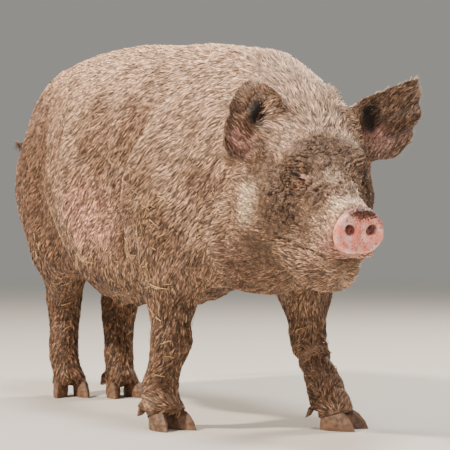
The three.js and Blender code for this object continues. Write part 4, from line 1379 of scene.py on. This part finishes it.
strawPlaces = (
    # where straw is caught in the muddy hair, how far it scatters and how many bits there are
    ([0.265, -0.27, 0.520], [0.075, 0.05, 0.085], 30),     # elbows
    ([0.230, -0.25, 0.390], [0.06, 0.05, 0.06], 14),
    ([-0.050, -0.22, 0.360], [0.170, 0.08, 0.035], 40),    # belly
    ([-0.120, -0.27, 0.560], [0.160, 0.05, 0.120], 12),    # flank
    ([0.230, -0.22, 0.250], [0.040, 0.05, 0.080], 12),     # foreleg
    ([-0.560, -0.20, 0.330], [0.080, 0.06, 0.120], 22),    # hind leg
    ([0.260, 0.25, 0.500], [0.080, 0.05, 0.090], 18),      # and the same on the left
    ([-0.100, 0.22, 0.360], [0.200, 0.08, 0.035], 24),
    ([-0.560, 0.18, 0.350], [0.080, 0.06, 0.120], 12),
    ([0.330, 0.17, 0.280], [0.040, 0.05, 0.070], 8),
    ([-0.300, 0.0, 0.850], [0.250, 0.12, 0.020], 8),       # back
)
strawShape = {"length": 0.036, "width": 0.0010, "steps": 6, "above": 0.0042, "bend": 0.16}


def makeStraw(skin):
    # each straw is a thin three-sided stem laid along the hair, a little bent
    tree = treeOf(skin)
    vertices, faces = [], []
    for place, scatter, many in strawPlaces:
        for _ in range(many):
            spot = Vector(rng.normal(place, scatter))
            at, normal, _, _ = tree.find_nearest(spot)
            heading = Vector(rng.normal(0, 1, 3))
            bend = rng.normal(0, strawShape["bend"])
            step = strawShape["length"] * rng.uniform(0.35, 1.3) / strawShape["steps"]
            width = strawShape["width"] * rng.uniform(0.6, 1.4)
            first = len(vertices)
            for n in range(strawShape["steps"] + 1):
                heading = (heading - normal * heading.dot(normal)).normalized()
                across = normal.cross(heading)
                heading = (heading + across * bend * rng.uniform(0, 1)).normalized()
                lifted = at + normal * strawShape["above"]
                vertices += [lifted + across * width, lifted - across * width, lifted + normal * width]
                if n:
                    ring = first + 3 * n
                    for a, b in ((0, 1), (1, 2), (2, 0)):
                        faces.append((ring - 3 + a, ring - 3 + b, ring + b, ring + a))
                at, normal, _, _ = tree.find_nearest(at + heading * step)
    piece = meshObject("straw", vertices, faces)
    piece.data.materials.append(plainMaterial("dry straw"))
    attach(piece, "root")
    say(f"straw {len(faces) * 2}")


makeStraw(hide)

studio = {
    "floor": "#cfc9c0",
    "backdrop": "#bab7b1",      # the floor fades into this light behind, so no edge shows
    "backdropLight": 0.62,
    "fadeFrom": 3.2, "fadeTo": 9.0,
    # place in metres from the animal's middle, size, watts, colour
    "lamps": {
        "key": ((-0.2, -3.4, 3.8), 0.45, 375, "#fff2e2"),
        "fill": ((4.6, -1.8, 1.7), 2.6, 44, "#f4f2ff"),
        "rim": ((-1.8, 3.2, 3.6), 1.2, 230, "#fff4e4"),
        "top": ((0.8, -0.2, 4.4), 1.2, 170, "#ffffff"),
    },
}


def makeStudio():
    floor = meshObject("floor", [(-30, -30, 0), (30, -30, 0), (30, 30, 0), (-30, 30, 0)], [(0, 1, 2, 3)])
    material, add = newMaterial("studio floor")
    matt = add("ShaderNodeBsdfPrincipled", {"Base Color": linear(studio["floor"]), "Roughness": 0.9}), "BSDF"
    glow = {"Color": linear(studio["backdrop"]), "Strength": studio["backdropLight"]}
    glow = add("ShaderNodeEmission", glow), "Emission"
    where = add("ShaderNodeTexCoord", {}), "Object"
    reach = add("ShaderNodeVectorMath", {0: where}, operation="LENGTH"), "Value"
    fade = {"Value": reach, "From Min": studio["fadeFrom"], "From Max": studio["fadeTo"]}
    fade = add("ShaderNodeMapRange", fade, interpolation_type="SMOOTHSTEP"), "Result"
    both = add("ShaderNodeMixShader", {0: fade, 1: matt, 2: glow}), "Shader"
    add("ShaderNodeOutputMaterial", {"Surface": both})
    floor.data.materials.append(material)
    for name, (place, size, watts, colour) in studio["lamps"].items():
        data = bpy.data.lights.new(name, "AREA")
        data.shape = "DISK"
        data.size = size
        data.energy = watts
        data.color = linear(colour)[:3]
        lamp = added(name, data)
        lamp.location = place
        lamp.rotation_euler = (Vector((0, 0, 0.5)) - Vector(place)).to_track_quat("-Z", "Y").to_euler()
    world = bpy.data.worlds.new("studio")
    world.use_nodes = True
    sky = world.node_tree.nodes["Background"]
    sky.inputs["Color"].default_value = linear(studio["backdrop"])
    sky.inputs["Strength"].default_value = studio["backdropLight"]
    bpy.context.scene.world = world


makeStudio()
say("studio")
